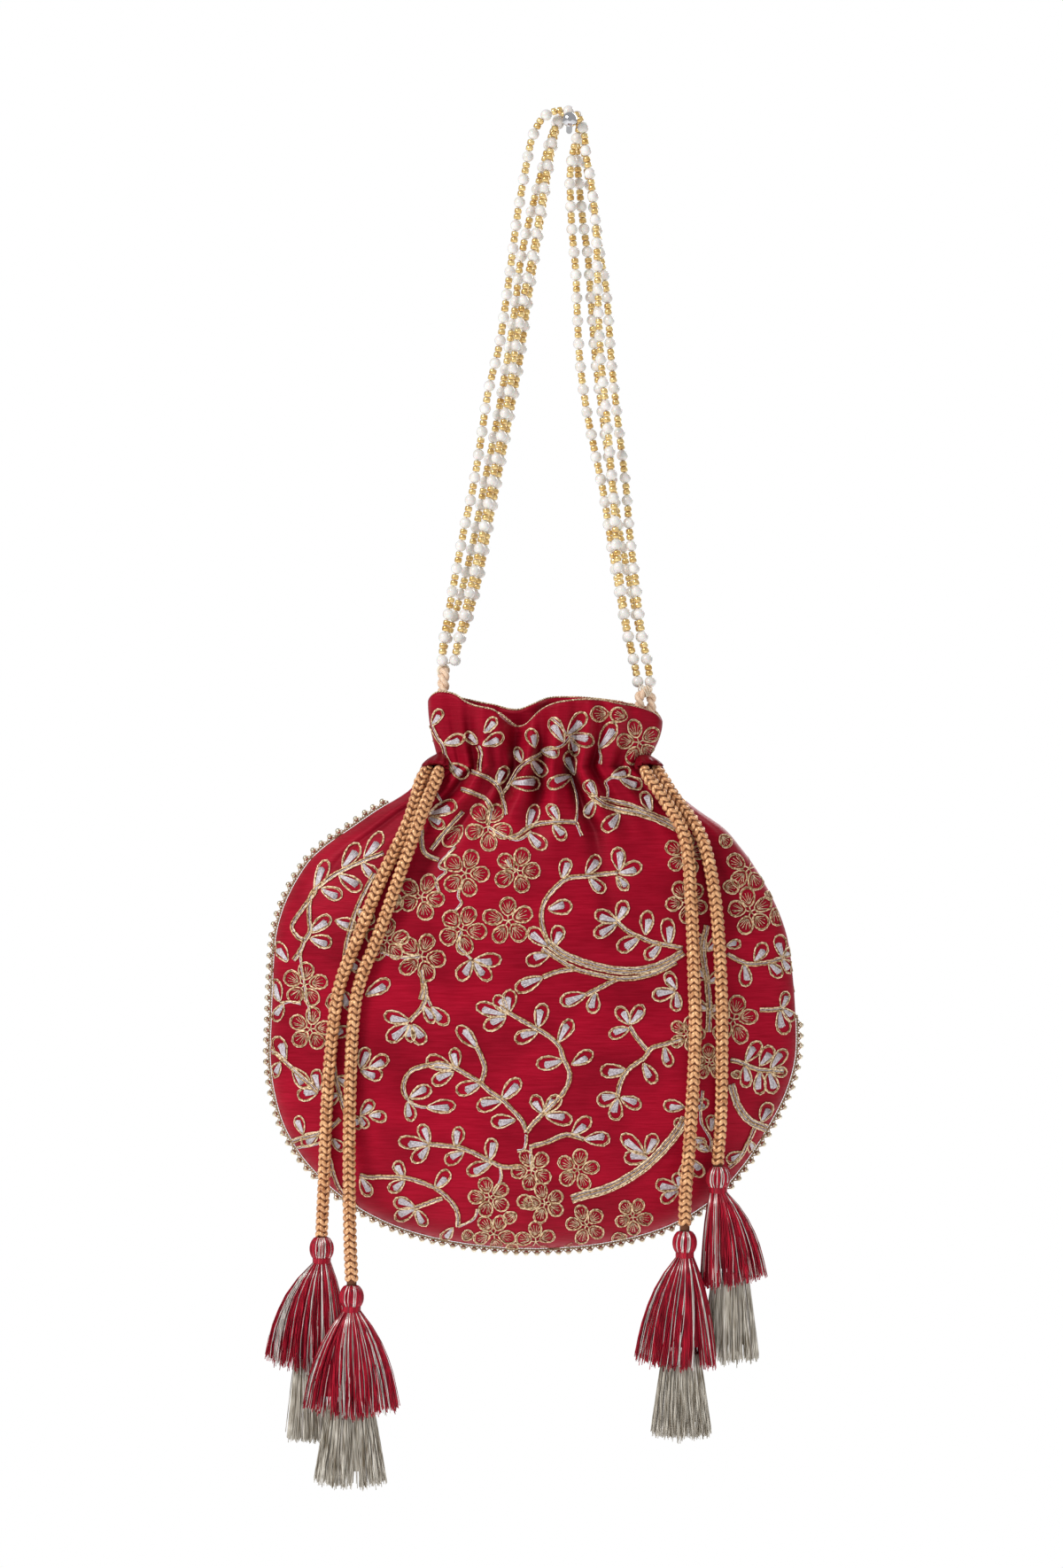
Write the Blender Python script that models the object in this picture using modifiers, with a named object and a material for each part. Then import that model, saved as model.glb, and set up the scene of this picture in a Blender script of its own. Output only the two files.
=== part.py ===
# A hanging reticule: a drawstring pouch of red silk with a gathered, ruffled mouth, a trim of
# small balls round its seam, a handle of four bead strings on two satin loops, two braided
# drawstrings with two tassels each, and the ball-headed pin that it hangs on.
# Metres, +Z up. The origin is on the pin's axis where the handle hangs; the front faces -Y.

import math

import bmesh
import bpy
from mathutils import Vector

NAME = "reticule"
MM = 0.001
SEAT_GAP = 0.3 * MM

# The hang pin
PIN_SHANK_RADIUS = 1.25 * MM
PIN_BALL_RADIUS = 3.1 * MM
PIN_BACK = 30.0 * MM
PIN_SIDES = 16
PIN_BALL_STEPS = 8

# The handle: four strings of beads, here as plain tubes of the beads' diameter
STRAND_DIAMETER = 4.6 * MM
STRAND_PITCH = 5.0 * MM
STRAND_COUNT = 4

# The satin loops that the strings end on: the turns of the mouth at which each one's two legs
# stand inside the ruffle, and how far up the ruffle their feet are
LOOP_CORD_DIAMETER = 4.0 * MM
LOOP_TURNS = {"left": (0.082, 0.918), "right": (0.410, 0.448)}
LOOP_FOOT = 0.60
LOOP_ARCH_STEPS = 8

# The pouch: its body below the neck, which stands at NECK_Z, and its ruffle above it
NECK_Z = -261.4 * MM
BODY_X = -14.8 * MM
BODY_HALF_WIDTH = 106.7 * MM
BODY_HALF_DEPTH = 24.0 * MM
BODY_HEIGHT = 195.8 * MM
MOUTH_X = BODY_X + 4.9 * MM
MOUTH_HALF_WIDTH = 47.7 * MM
MOUTH_HALF_DEPTH = 19.0 * MM
RUFFLE_HEIGHT = 30.6 * MM
WALL = 1.6 * MM
PLEATS = 13
PLEAT_DEPTH = 1.3 * MM
PLEAT_REACH = 46.0 * MM
POUCH_SIDES = 60
BODY_RINGS = 13
RUFFLE_RINGS = 4

# One row per height of the body: how far down it is, how far the cloth reaches to the left and
# to the right of BODY_X, and how deep it is, as shares of the body's height, half width and half depth.
BODY_ROWS = [
    # down, left, right, depth
    (0.000, 0.354, 0.422, 0.604),
    (0.018, 0.410, 0.465, 0.61),
    (0.055, 0.485, 0.545, 0.63),
    (0.092, 0.597, 0.631, 0.68),
    (0.129, 0.695, 0.728, 0.73),
    (0.165, 0.790, 0.785, 0.78),
    (0.202, 0.860, 0.836, 0.83),
    (0.276, 0.938, 0.914, 0.91),
    (0.349, 0.978, 0.965, 0.96),
    (0.432, 0.990, 0.988, 0.99),
    (0.533, 0.997, 1.000, 1.00),
    (0.607, 1.000, 0.996, 0.99),
    (0.680, 0.983, 0.958, 0.96),
    (0.754, 0.940, 0.887, 0.91),
    (0.827, 0.853, 0.800, 0.83),
    (0.901, 0.705, 0.675, 0.70),
    (0.956, 0.510, 0.500, 0.51),
    (0.989, 0.265, 0.265, 0.27),
    (1.000, 0.000, 0.000, 0.00),
]

# One row per stretch of the mouth's edge, evenly round it from the left tip along the front to
# the right tip and back behind: how high the edge stands above the neck, and how far forward or
# back it stands, as shares of the ruffle's height and the mouth's half depth.
MOUTH_ROWS = [
    # rise, depth
    (0.86, 0.00),
    (0.93, 0.26),
    (0.98, 0.36),
    (0.95, 0.42),
    (0.80, 0.62),
    (0.73, 0.78),
    (0.52, 0.30),
    (0.78, 0.72),
    (0.86, 0.98),
    (0.87, 1.00),
    (0.82, 0.86),
    (0.78, 0.60),
    (0.72, 0.42),
    (0.65, 0.28),
    (0.60, 0.00),
    (0.69, 0.30),
    (0.77, 0.44),
    (0.81, 0.62),
    (0.86, 0.60),
    (0.90, 0.84),
    (0.92, 0.90),
    (0.90, 0.72),
    (0.75, 0.42),
    (0.81, 0.66),
    (0.87, 0.66),
    (0.92, 0.44),
    (0.94, 0.36),
    (0.91, 0.26),
]

# One row per long crease that runs down from the neck: where it starts and how far it drifts
# round the pouch, in turns, its depth as a share of the wall, its width in turns and its length
# as a share of the body's height.
CREASES = [
    # start, drift, depth, width, length
    (0.100, -0.030, 1.3, 0.016, 0.34),
    (0.190, -0.030, 1.5, 0.018, 0.42),
    (0.295, 0.012, 1.9, 0.016, 0.50),
    (0.390, 0.030, 1.4, 0.018, 0.38),
    (0.610, -0.020, 1.3, 0.018, 0.36),
    (0.740, 0.005, 1.7, 0.018, 0.46),
    (0.880, 0.025, 1.4, 0.018, 0.38),
]

# The trim round the seam
TRIM_DIAMETER = 3.0 * MM
TRIM_LEFT_START = 0.085
TRIM_RIGHT_END = 0.44
TRIM_STEPS = 24

# The drawstrings and their tassels
CORD_DIAMETER = 6.0 * MM
TASSEL_HEAD_RADIUS = 5.0 * MM
TASSEL_HEAD_TALL = 1.1
TASSEL_HEAD_TOP = math.radians(38)
TASSEL_HEAD_END = math.radians(138)
TASSEL_HEAD_RINGS = 5
TASSEL_NECK_RADIUS = 3.4 * MM
TASSEL_NECK_HEIGHT = 1.5 * MM
TASSEL_HALF_DEPTH = 5.6 * MM
LOWER_HALF_DEPTH = 3.5 * MM
LOCK_WAVE = 0.09
TASSEL_LOCKS = 8
TASSEL_SIDES = 24
LOWER_SIDES = 16

# Bead strings, from their left end over the pin to their right end: x, y, z in millimetres
STRAND_ROUTES = {
    1: [
        (-51.8, -2.5, -219.9), (-51.4, -2.6, -212.0), (-48.6, -3.1, -196.2), (-43.2, -3.8, -167.0),
        (-39.2, -4.3, -148.3), (-36.0, -4.7, -128.9), (-33.1, -5.2, -109.8), (-28.6, -5.6, -91.1),
        (-25.9, -6.0, -73.4), (-23.4, -6.5, -55.1), (-20.9, -7.0, -36.4), (-17.4, -7.4, -16.9),
        (-15.2, -7.5, -6.8), (-11.3, -7.5, 0.8), (-6.2, -7.5, 3.9), (0.0, -7.5, 3.9),
        (4.2, -7.5, 0.6), (6.0, -7.5, -6.0), (6.8, -7.5, -14.8), (8.6, -7.3, -23.8),
        (10.6, -7.0, -42.1), (11.3, -6.6, -61.9), (11.8, -6.3, -78.8), (12.8, -5.9, -97.6),
        (14.8, -5.5, -116.6), (16.4, -5.2, -135.7), (17.9, -5.0, -154.8), (19.1, -4.7, -173.5),
        (21.2, -4.2, -191.2), (23.6, -3.3, -207.0), (26.4, -2.7, -220.0), (28.0, -2.5, -228.6),
    ],
    2: [
        (-46.8, -2.5, -219.9), (-45.8, -2.5, -213.0), (-43.2, -2.5, -202.0), (-39.2, -2.5, -184.7),
        (-34.9, -2.5, -164.5), (-31.3, -2.5, -144.7), (-27.4, -2.5, -125.3), (-24.1, -2.5, -106.6),
        (-21.6, -2.5, -88.6), (-18.4, -2.5, -69.5), (-14.4, -2.5, -50.8), (-11.3, -2.5, -32.0),
        (-7.9, -2.5, -11.9), (-5.9, -2.5, -2.2), (-3.6, -2.5, 2.2), (0.0, -2.5, 3.9),
        (3.3, -2.5, 2.0), (3.7, -2.5, -3.0), (1.4, -2.5, -12.2), (0.2, -2.4, -21.6),
        (0.4, -2.3, -31.7), (1.0, -2.2, -44.0), (2.5, -2.0, -60.5), (3.2, -1.7, -79.6),
        (4.3, -1.2, -97.9), (6.8, -0.7, -115.9), (10.2, -0.3, -133.2), (13.8, 0.1, -150.5),
        (16.8, 0.6, -170.0), (20.0, 1.0, -189.0), (23.2, 1.9, -206.5), (26.4, 2.4, -220.0),
        (28.0, 2.5, -228.6),
    ],
    3: [
        (-51.8, 2.5, -219.9), (-51.0, 2.5, -213.0), (-47.3, 2.5, -202.0), (-42.3, 2.5, -184.0),
        (-37.6, 2.5, -162.4), (-33.5, 2.5, -140.8), (-29.2, 2.5, -119.2), (-25.6, 2.5, -97.6),
        (-22.2, 2.5, -75.2), (-19.8, 2.5, -55.1), (-15.5, 2.5, -35.6), (-11.6, 2.5, -20.5),
        (-8.8, 2.5, -10.0), (-6.4, 2.5, -2.5), (-3.8, 2.5, 2.2), (0.0, 2.5, 3.9),
        (3.4, 2.5, 1.6), (3.8, 2.5, -4.0), (3.0, 2.5, -11.0), (3.5, 2.6, -19.8),
        (4.3, 2.6, -29.2), (5.6, 2.6, -41.0), (7.6, 2.6, -55.0), (8.6, 2.7, -70.0),
        (10.4, 2.8, -94.0), (12.6, 3.1, -112.0), (15.0, 3.5, -130.0), (17.8, 3.7, -148.0),
        (20.6, 3.8, -167.0), (24.2, 3.6, -185.0), (28.0, 3.1, -204.0), (31.6, 2.7, -219.0),
        (33.0, 2.5, -228.6),
    ],
    4: [
        (-46.8, 2.5, -219.9), (-45.2, 2.7, -212.0), (-41.6, 3.1, -202.0), (-37.0, 3.4, -185.0),
        (-33.6, 4.0, -167.0), (-30.0, 4.6, -148.0), (-26.2, 5.2, -128.0), (-22.4, 5.7, -108.0),
        (-19.4, 6.3, -90.0), (-17.0, 7.0, -72.0), (-14.2, 7.6, -54.0), (-11.4, 7.8, -36.0),
        (-8.6, 7.6, -18.0), (-6.2, 7.5, -5.0), (-3.8, 7.5, 1.9), (0.0, 7.5, 3.9),
        (3.8, 7.5, 1.6), (5.4, 7.5, -5.0), (6.6, 7.5, -15.0), (8.6, 7.5, -26.0),
        (10.8, 7.6, -40.0), (12.8, 7.6, -54.0), (14.8, 7.2, -66.0), (15.9, 6.6, -78.0),
        (16.9, 5.8, -94.0), (18.7, 4.4, -112.0), (20.8, 2.2, -130.0), (23.0, 0.2, -148.3),
        (24.4, -1.3, -166.7), (26.6, -2.2, -184.7), (28.8, -2.4, -204.0), (31.6, -2.5, -219.0),
        (33.0, -2.5, -228.6),
    ],
}

# Drawstring legs, from the neck down to their tassels: x, y, z in millimetres
CORD_ROUTES = {
    "left_outer": [
        (-56.5, -4.2, -261.4), (-60.1, -9.0, -267.0), (-62.2, -12.4, -274.5), (-66.2, -16.2, -286.4),
        (-76.3, -19.6, -307.4), (-85.0, -20.4, -329.4), (-92.6, -19.6, -349.0), (-95.6, -19.2, -368.0),
        (-97.9, -17.8, -395.6), (-99.4, -13.2, -428.8), (-100.4, -9.6, -449.0),
        (-100.4, -9.6, -452.0),
    ],
    "left_inner": [
        (-52.5, -9.6, -261.8), (-54.0, -12.6, -266.6), (-57.0, -16.0, -273.6), (-61.8, -21.4, -286.4),
        (-69.4, -22.0, -307.4), (-77.2, -21.8, -329.4), (-84.8, -21.4, -349.0), (-87.4, -20.9, -366.0),
        (-88.7, -20.6, -395.6), (-88.9, -21.4, -428.8), (-88.5, -22.7, -452.5), (-87.9, -23.0, -467.4),
        (-87.9, -23.0, -470.4),
    ],
    "right_inner": [
        (29.8, -9.4, -261.8), (32.6, -13.4, -267.2), (37.2, -16.2, -273.4), (46.4, -17.0, -290.2),
        (48.8, -20.1, -315.0), (50.0, -22.3, -347.8), (50.4, -22.4, -372.6), (48.2, -22.6, -412.2),
        (46.6, -22.7, -432.0), (46.2, -22.7, -445.6),
        (46.2, -22.7, -448.6),
    ],
    "right_outer": [
        (34.5, -3.6, -261.4), (38.2, -8.4, -267.2), (42.0, -10.6, -273.4), (53.2, -13.8, -290.2),
        (58.6, -17.9, -315.0), (60.9, -20.2, -347.8), (61.3, -20.3, -372.6), (61.0, -18.4, -402.0),
        (59.8, -16.6, -420.0), (59.8, -16.6, -423.0),
    ],
}

# One row per tassel, in millimetres from its head: how far its upper skirt reaches left, right
# and down, how far aside its lower tier hangs, and that tier's half width and length.
TASSELS = {
    # left, right, down, aside, half width, length
    "left_outer": (24.0, 11.0, 44.3, -5.6, 7.8, 27.0),
    "left_inner": (19.6, 18.9, 41.8, -0.5, 13.6, 28.6),
    "right_inner": (20.4, 12.6, 44.2, -1.4, 11.2, 28.2),
    "right_outer": (7.0, 19.6, 37.4, 5.0, 10.6, 30.4),
}
# How a tassel's upper skirt opens below its neck, and how its lower tier swells, in shares.
UPPER_SPREAD = [(0.0, 0.0), (0.14, 0.26), (0.36, 0.56), (0.68, 0.84), (1.0, 1.0)]
LOWER_SPREAD = [(0.0, 0.86), (0.35, 0.96), (0.75, 1.0), (1.0, 0.9)]

# The longest step along a tube, in diameters: for the cords, and for the thin strings and trim
TUBE_STEP = 2.8
TUBE_STEP_THIN = 4.2
TUBE_TURN = math.radians(26)

COLOURS = {
    # colour, roughness, metallic
    "silk": ((0.40, 0.006, 0.024), 0.42, 0.0),
    "metal_balls": ((0.42, 0.36, 0.27), 0.32, 0.9),
    "pearl": ((0.88, 0.86, 0.82), 0.22, 0.0),
    "satin": ((0.91, 0.69, 0.48), 0.35, 0.0),
    "braid": ((0.68, 0.32, 0.12), 0.45, 0.2),
    "tassel_red": ((0.38, 0.010, 0.030), 0.55, 0.0),
    "tassel_taupe": ((0.30, 0.26, 0.19), 0.55, 0.1),
    "chrome": ((0.80, 0.80, 0.82), 0.12, 1.0),
}


for old in list(bpy.data.objects):
    bpy.data.objects.remove(old)
PARTS = bpy.data.collections.new(NAME)
bpy.context.scene.collection.children.link(PARTS)


def material(node, colour_name):
    """The node's own Principled material, in one of the named colours."""
    colour, roughness, metallic = COLOURS[colour_name]
    made = bpy.data.materials.new(node + "_material")
    made.use_nodes = True
    shader = made.node_tree.nodes["Principled BSDF"]
    shader.inputs["Base Color"].default_value = (*colour, 1.0)
    shader.inputs["Roughness"].default_value = roughness
    shader.inputs["Metallic"].default_value = metallic
    return made


def add_part(name, data, colour_name):
    """Puts mesh or curve data in the scene as a named part with its own material."""
    part = bpy.data.objects.new(name, data)
    part.data.materials.append(material(name, colour_name))
    PARTS.objects.link(part)
    return part


def mesh_of(name, points, faces):
    """A mesh with its faces pointing the same way, shaded smooth."""
    mesh = bpy.data.meshes.new(name)
    mesh.from_pydata([tuple(p) for p in points], [], faces)
    mesh.validate()
    mesh.shade_smooth()
    return mesh


def through(knots, values, at):
    """The value at a place on a smooth curve through the values at the knots."""
    span = 0
    while span < len(knots) - 2 and at > knots[span + 1]:
        span += 1
    slopes = []
    for i in (span, span + 1):
        low = max(i - 1, 0)
        high = min(i + 1, len(knots) - 1)
        slopes.append((values[high] - values[low]) / (knots[high] - knots[low]))
    step = knots[span + 1] - knots[span]
    t = (at - knots[span]) / step
    rise = (3 - 2 * t) * t * t
    bend = t * (1 - t) * step
    return (
        values[span] + (values[span + 1] - values[span]) * rise
        + bend * (slopes[0] * (1 - t) - slopes[1] * t)
    )


def round_through(values, turn):
    """The value at a turn on a smooth closed curve through evenly placed values."""
    place = (turn % 1.0) * len(values)
    i = int(place)
    t = place - i
    before, start, end, after = (values[(i + k) % len(values)] for k in (-1, 0, 1, 2))
    return start + 0.5 * t * (
        end - before
        + t * (2 * before - 5 * start + 4 * end - after + t * (3 * (start - end) + after - before))
    )


def ease(t):
    """A smooth step from 0 to 1."""
    t = min(max(t, 0.0), 1.0)
    return t * t * (3 - 2 * t)


def body_lengths():
    """How far each body row lies from the neck along the cloth's outline."""
    lengths = [0.0]
    for above, below in zip(BODY_ROWS, BODY_ROWS[1:]):
        across = ((below[1] + below[2]) - (above[1] + above[2])) / 2 * BODY_HALF_WIDTH
        down = (below[0] - above[0]) * BODY_HEIGHT
        lengths.append(lengths[-1] + math.hypot(across, down))
    return lengths


def body_section(share):
    """The body's section at a share of the way along its outline: down, left, right, depth."""
    lengths = body_lengths()
    last = lengths[-1]
    step_back = last - lengths[-2]
    knots = lengths + [last + step_back]
    at = share * last
    down = through(knots, [r[0] for r in BODY_ROWS] + [BODY_ROWS[-2][0]], at)
    sides = [
        through(knots, [r[k] for r in BODY_ROWS] + [-BODY_ROWS[-2][k]], at) for k in (1, 2, 3)
    ]
    return (down, *sides)


def pleat(turn, below_neck):
    """How far the gathers push the cloth out at a turn, a distance below the neck."""
    fade = 1 - ease(abs(below_neck) / PLEAT_REACH)
    return PLEAT_DEPTH * fade * math.cos(2 * math.pi * PLEATS * turn)


def crease(turn, down):
    """How far the long creases pull the cloth in at a turn, a share of the way down."""
    pull = 0.0
    for start, drift, depth, width, length in CREASES:
        middle = start + drift * down / length
        away = (turn - middle) / width
        pull += depth * WALL * math.exp(-away * away) * (1 - ease(down / length))
    return pull


def body_point(turn, share):
    """A point on the outside of the body, below the neck."""
    down, left, right, depth = body_section(share)
    angle = 2 * math.pi * turn
    across = BODY_X + (right - left) / 2 * BODY_HALF_WIDTH
    half = (left + right) / 2 * BODY_HALF_WIDTH
    out = pleat(turn, down * BODY_HEIGHT) - crease(turn, down)
    y = -math.sin(angle) * (depth * BODY_HALF_DEPTH + out)
    return Vector((across - half * math.cos(angle), y, NECK_Z - down * BODY_HEIGHT))


def mouth_point(turn):
    """A point on the edge of the mouth."""
    rise = round_through([row[0] for row in MOUTH_ROWS], turn)
    side = [row[1] if 2 * i <= len(MOUTH_ROWS) else -row[1] for i, row in enumerate(MOUTH_ROWS)]
    depth = round_through(side, turn)
    x = MOUTH_X - MOUTH_HALF_WIDTH * math.cos(2 * math.pi * turn)
    return Vector((x, -depth * MOUTH_HALF_DEPTH, NECK_Z + rise * RUFFLE_HEIGHT))


def ruffle_point(turn, share):
    """A point on the outside of the ruffle, a share of the way from the neck to the edge."""
    neck = body_point(turn, 0.0)
    edge = mouth_point(turn)
    spread = math.sin(share * math.pi / 2)
    x = neck.x + (edge.x - neck.x) * spread
    y = neck.y + (edge.y - neck.y) * ease(share)
    return Vector((x, y, neck.z + (edge.z - neck.z) * share))


def inside_point(turn, share, distance):
    """A point inside the ruffle, a level distance from its outside."""
    here = ruffle_point(turn, share)
    along = ruffle_point(turn + 0.004, share) - ruffle_point(turn - 0.004, share)
    inward = Vector((-along.y, along.x, 0.0)).normalized()
    middle = Vector((MOUTH_X, 0.0, here.z))
    if inward.dot(middle - here) < 0:
        inward = -inward
    return here + inward * distance


def make_pouch():
    """The pouch's cloth: rings from the mouth's edge down to the bottom, made a shell."""
    rows = [
        [ruffle_point(i / POUCH_SIDES, 1 - k / RUFFLE_RINGS) for i in range(POUCH_SIDES)]
        for k in range(RUFFLE_RINGS)
    ]
    rows += [
        [body_point(i / POUCH_SIDES, k / BODY_RINGS) for i in range(POUCH_SIDES)]
        for k in range(BODY_RINGS)
    ]
    points = [p for row in rows for p in row] + [body_point(0.0, 1.0)]
    faces = []
    for k in range(len(rows) - 1):
        for i in range(POUCH_SIDES):
            j = (i + 1) % POUCH_SIDES
            a, b = k * POUCH_SIDES, (k + 1) * POUCH_SIDES
            faces.append((a + i, b + i, b + j, a + j))
    last = (len(rows) - 1) * POUCH_SIDES
    for i in range(POUCH_SIDES):
        faces.append((last + i, len(points) - 1, last + (i + 1) % POUCH_SIDES))
    pouch = add_part("pouch", mesh_of("pouch", points, faces), "silk")
    shell = pouch.modifiers.new("cloth", "SOLIDIFY")
    shell.thickness = WALL
    shell.offset = -1.0
    shell.use_quality_normals = True
    return pouch


def curve_point(route, span, t):
    """A point on the smooth curve through a route, a share of the way along one span."""
    before = route[max(span - 1, 0)]
    start, end = route[span], route[span + 1]
    after = route[min(span + 2, len(route) - 1)]
    bend = 2 * before - 5 * start + 4 * end - after + t * (3 * (start - end) + after - before)
    return start + 0.5 * t * ((end - before) + t * bend)


def tube_points(route, longest):
    """A smooth curve through a route as few points, closer together where it bends."""
    points = []
    for span in range(len(route) - 1):
        start = curve_point(route, span, 0.05) - route[span]
        end = route[span + 1] - curve_point(route, span, 0.95)
        length = (route[span + 1] - route[span]).length
        parts = max(math.ceil(length / longest), math.ceil(start.angle(end) / TUBE_TURN))
        points += [curve_point(route, span, k / parts) for k in range(parts)]
    return points + [route[-1]]


def add_tube(name, points, diameter, colour_name):
    """A round cord or string along points, with closed ends."""
    curve = bpy.data.curves.new(name, "CURVE")
    curve.dimensions = "3D"
    curve.bevel_depth = diameter / 2
    curve.bevel_resolution = 2
    curve.use_fill_caps = True
    spline = curve.splines.new("POLY")
    spline.points.add(len(points) - 1)
    for place, point in zip(spline.points, points):
        place.co = (*point, 1.0)
    return add_part(name, curve, colour_name)


def route_points(route, longest):
    """A hand-made route in millimetres as the points of its tube."""
    return tube_points([Vector(p) * MM for p in route], longest)


def make_trim():
    """The trim: a round band just outside the seam, from one shoulder under the pouch to the other."""
    seam = []
    for k in range(TRIM_STEPS):
        seam.append(body_point(0.0, TRIM_LEFT_START + (1 - TRIM_LEFT_START) * k / TRIM_STEPS))
    for k in range(TRIM_STEPS + 1):
        seam.append(body_point(0.5, 1 - (1 - TRIM_RIGHT_END) * k / TRIM_STEPS))
    outside = []
    for previous, here, following in zip(seam, seam[1:], seam[2:]):
        along = (following - previous).normalized()
        outward = Vector((along.z, 0.0, -along.x))
        outside.append(here + outward * (TRIM_DIAMETER / 2 + SEAT_GAP))
    add_tube("edge_trim", tube_points(outside, TUBE_STEP_THIN * TRIM_DIAMETER), TRIM_DIAMETER, "metal_balls")


def make_loops():
    """The two satin loops: each rises from inside a tip of the ruffle and turns over at its top."""
    reach = WALL + SEAT_GAP + LOOP_CORD_DIAMETER / 2
    string_ends = {"left": 0, "right": -1}
    for side, turns in LOOP_TURNS.items():
        crown = STRAND_ROUTES[1][string_ends[side]][2] * MM - SEAT_GAP - LOOP_CORD_DIAMETER / 2
        legs = [
            [inside_point(turn, share, reach) for share in (LOOP_FOOT, (1 + LOOP_FOOT) / 2, 1.0)]
            for turn in turns
        ]
        middle = (legs[0][-1] + legs[1][-1]) / 2
        half = (legs[1][-1] - legs[0][-1]) / 2
        half.z = 0.0
        arch = []
        for k in range(LOOP_ARCH_STEPS + 1):
            angle = math.pi * k / LOOP_ARCH_STEPS
            place = middle - half * math.cos(angle)
            place.z = crown - half.length * (1 - math.sin(angle))
            arch.append(place)
        points = tube_points(legs[0] + arch + legs[1][::-1], TUBE_STEP * LOOP_CORD_DIAMETER)
        add_tube("handle_loop_" + side, points, LOOP_CORD_DIAMETER, "satin")


def make_pin():
    """The pin: a ball in front of the strings and a round shank back to the wall, turned in one."""
    front = -(STRAND_COUNT * STRAND_PITCH / 2 + SEAT_GAP)
    ball_y = front - PIN_BALL_RADIUS
    neck_angle = math.asin(PIN_SHANK_RADIUS / PIN_BALL_RADIUS)
    profile = []
    for k in range(PIN_BALL_STEPS + 1):
        angle = (math.pi - neck_angle) * k / PIN_BALL_STEPS
        profile.append((PIN_BALL_RADIUS * math.sin(angle), ball_y - PIN_BALL_RADIUS * math.cos(angle)))
    profile += [(PIN_SHANK_RADIUS, PIN_BACK - PIN_SHANK_RADIUS), (0.4 * PIN_SHANK_RADIUS, PIN_BACK)]
    profile.append((0.0, PIN_BACK))
    mesh = bpy.data.meshes.new("hang_pin")
    mesh.from_pydata([(x, y, 0.0) for x, y in profile], [(k, k + 1) for k in range(len(profile) - 1)], [])
    pin = add_part("hang_pin", mesh, "chrome")
    turned = pin.modifiers.new("turned", "SCREW")
    turned.axis = "Y"
    turned.steps = PIN_SIDES
    turned.render_steps = PIN_SIDES
    turned.use_merge_vertices = True
    turned.merge_threshold = 0.01 * MM
    turned.use_normal_flip = True
    turned.use_smooth_shade = True


def closed_loft(name, rings, colour_name):
    """A closed solid through rings of points, top to bottom, with flat ends."""
    sides = len(rings[0])
    points = [p for ring in rings for p in ring]
    faces = [tuple(reversed(range(sides)))]
    for k in range(len(rings) - 1):
        for i in range(sides):
            j = (i + 1) % sides
            faces.append((k * sides + i, k * sides + j, (k + 1) * sides + j, (k + 1) * sides + i))
    faces.append(tuple(range((len(rings) - 1) * sides, len(rings) * sides)))
    mesh = mesh_of(name, points, faces)
    work = bmesh.new()
    work.from_mesh(mesh)
    bmesh.ops.recalc_face_normals(work, faces=work.faces)
    work.to_mesh(mesh)
    work.free()
    return add_part(name, mesh, colour_name)


def lock_ring(centre, left, right, depth, wave, sides):
    """A level ring that reaches left and right by different amounts, waved by the locks."""
    ring = []
    for i in range(sides):
        angle = 2 * math.pi * i / sides
        swell = 1 + wave * math.cos(TASSEL_LOCKS * angle)
        reach = right if math.cos(angle) > 0 else left
        away = Vector((reach * math.cos(angle), depth * math.sin(angle), 0.0))
        ring.append(centre + away * swell)
    return ring


def make_tassel(leg, foot):
    """A tassel of two tiers below a cord's end: a head and its skirt in locks, and the tier under it."""
    left, right, length, aside, lower_half, lower_length = (v * MM for v in TASSELS[leg])
    top = foot - Vector((0, 0, SEAT_GAP))
    rings = []
    for k in range(TASSEL_HEAD_RINGS):
        share = k / (TASSEL_HEAD_RINGS - 1)
        angle = TASSEL_HEAD_TOP + (TASSEL_HEAD_END - TASSEL_HEAD_TOP) * share
        radius = TASSEL_HEAD_RADIUS * math.sin(angle)
        down = TASSEL_HEAD_RADIUS * TASSEL_HEAD_TALL * (math.cos(TASSEL_HEAD_TOP) - math.cos(angle))
        centre = top - Vector((0, 0, down))
        rings.append(lock_ring(centre, radius, radius, radius, 0.0, TASSEL_SIDES))
    neck = top.z - down - TASSEL_NECK_HEIGHT
    for share, spread in UPPER_SPREAD:
        centre = Vector((top.x, top.y, neck - share * length))
        reaches = [
            TASSEL_NECK_RADIUS + (reach - TASSEL_NECK_RADIUS) * spread
            for reach in (left, right, TASSEL_HALF_DEPTH)
        ]
        rings.append(lock_ring(centre, *reaches, LOCK_WAVE * spread, TASSEL_SIDES))
    closed_loft("tassel_" + leg, rings, "tassel_red")
    rings = []
    start = neck - length - SEAT_GAP
    for share, spread in LOWER_SPREAD:
        centre = Vector((top.x + aside, top.y, start - share * lower_length))
        half = lower_half * spread
        rings.append(lock_ring(centre, half, half, LOWER_HALF_DEPTH, LOCK_WAVE, LOWER_SIDES))
    closed_loft("tassel_skirt_" + leg, rings, "tassel_taupe")


make_pouch()
make_trim()
make_pin()
make_loops()
for number, route in STRAND_ROUTES.items():
    string = route_points(route, TUBE_STEP_THIN * STRAND_DIAMETER)
    add_tube("handle_strand_%d" % number, string, STRAND_DIAMETER, "pearl")
for leg, route in CORD_ROUTES.items():
    cord = route_points(route, TUBE_STEP * CORD_DIAMETER)
    add_tube("drawstring_" + leg, cord, CORD_DIAMETER, "braid")
    make_tassel(leg, Vector(route[-1]) * MM)
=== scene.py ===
# %% [markdown]
# A reticule hung on a pin. The bag is a pouch of crimson silk, embroidered all over, gathered by
# two drawstrings under a ruffle, with a ball trim round its seam, a handle of four bead strings
# and four tassels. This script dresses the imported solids: it loads them as a fixed frame, then
# makes each soft or fine piece again in the same place, with real threads, beads and folds.

# %% Load the frame
import math

import bpy
import numpy as np
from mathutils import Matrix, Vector
from mathutils.bvhtree import BVHTree


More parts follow.
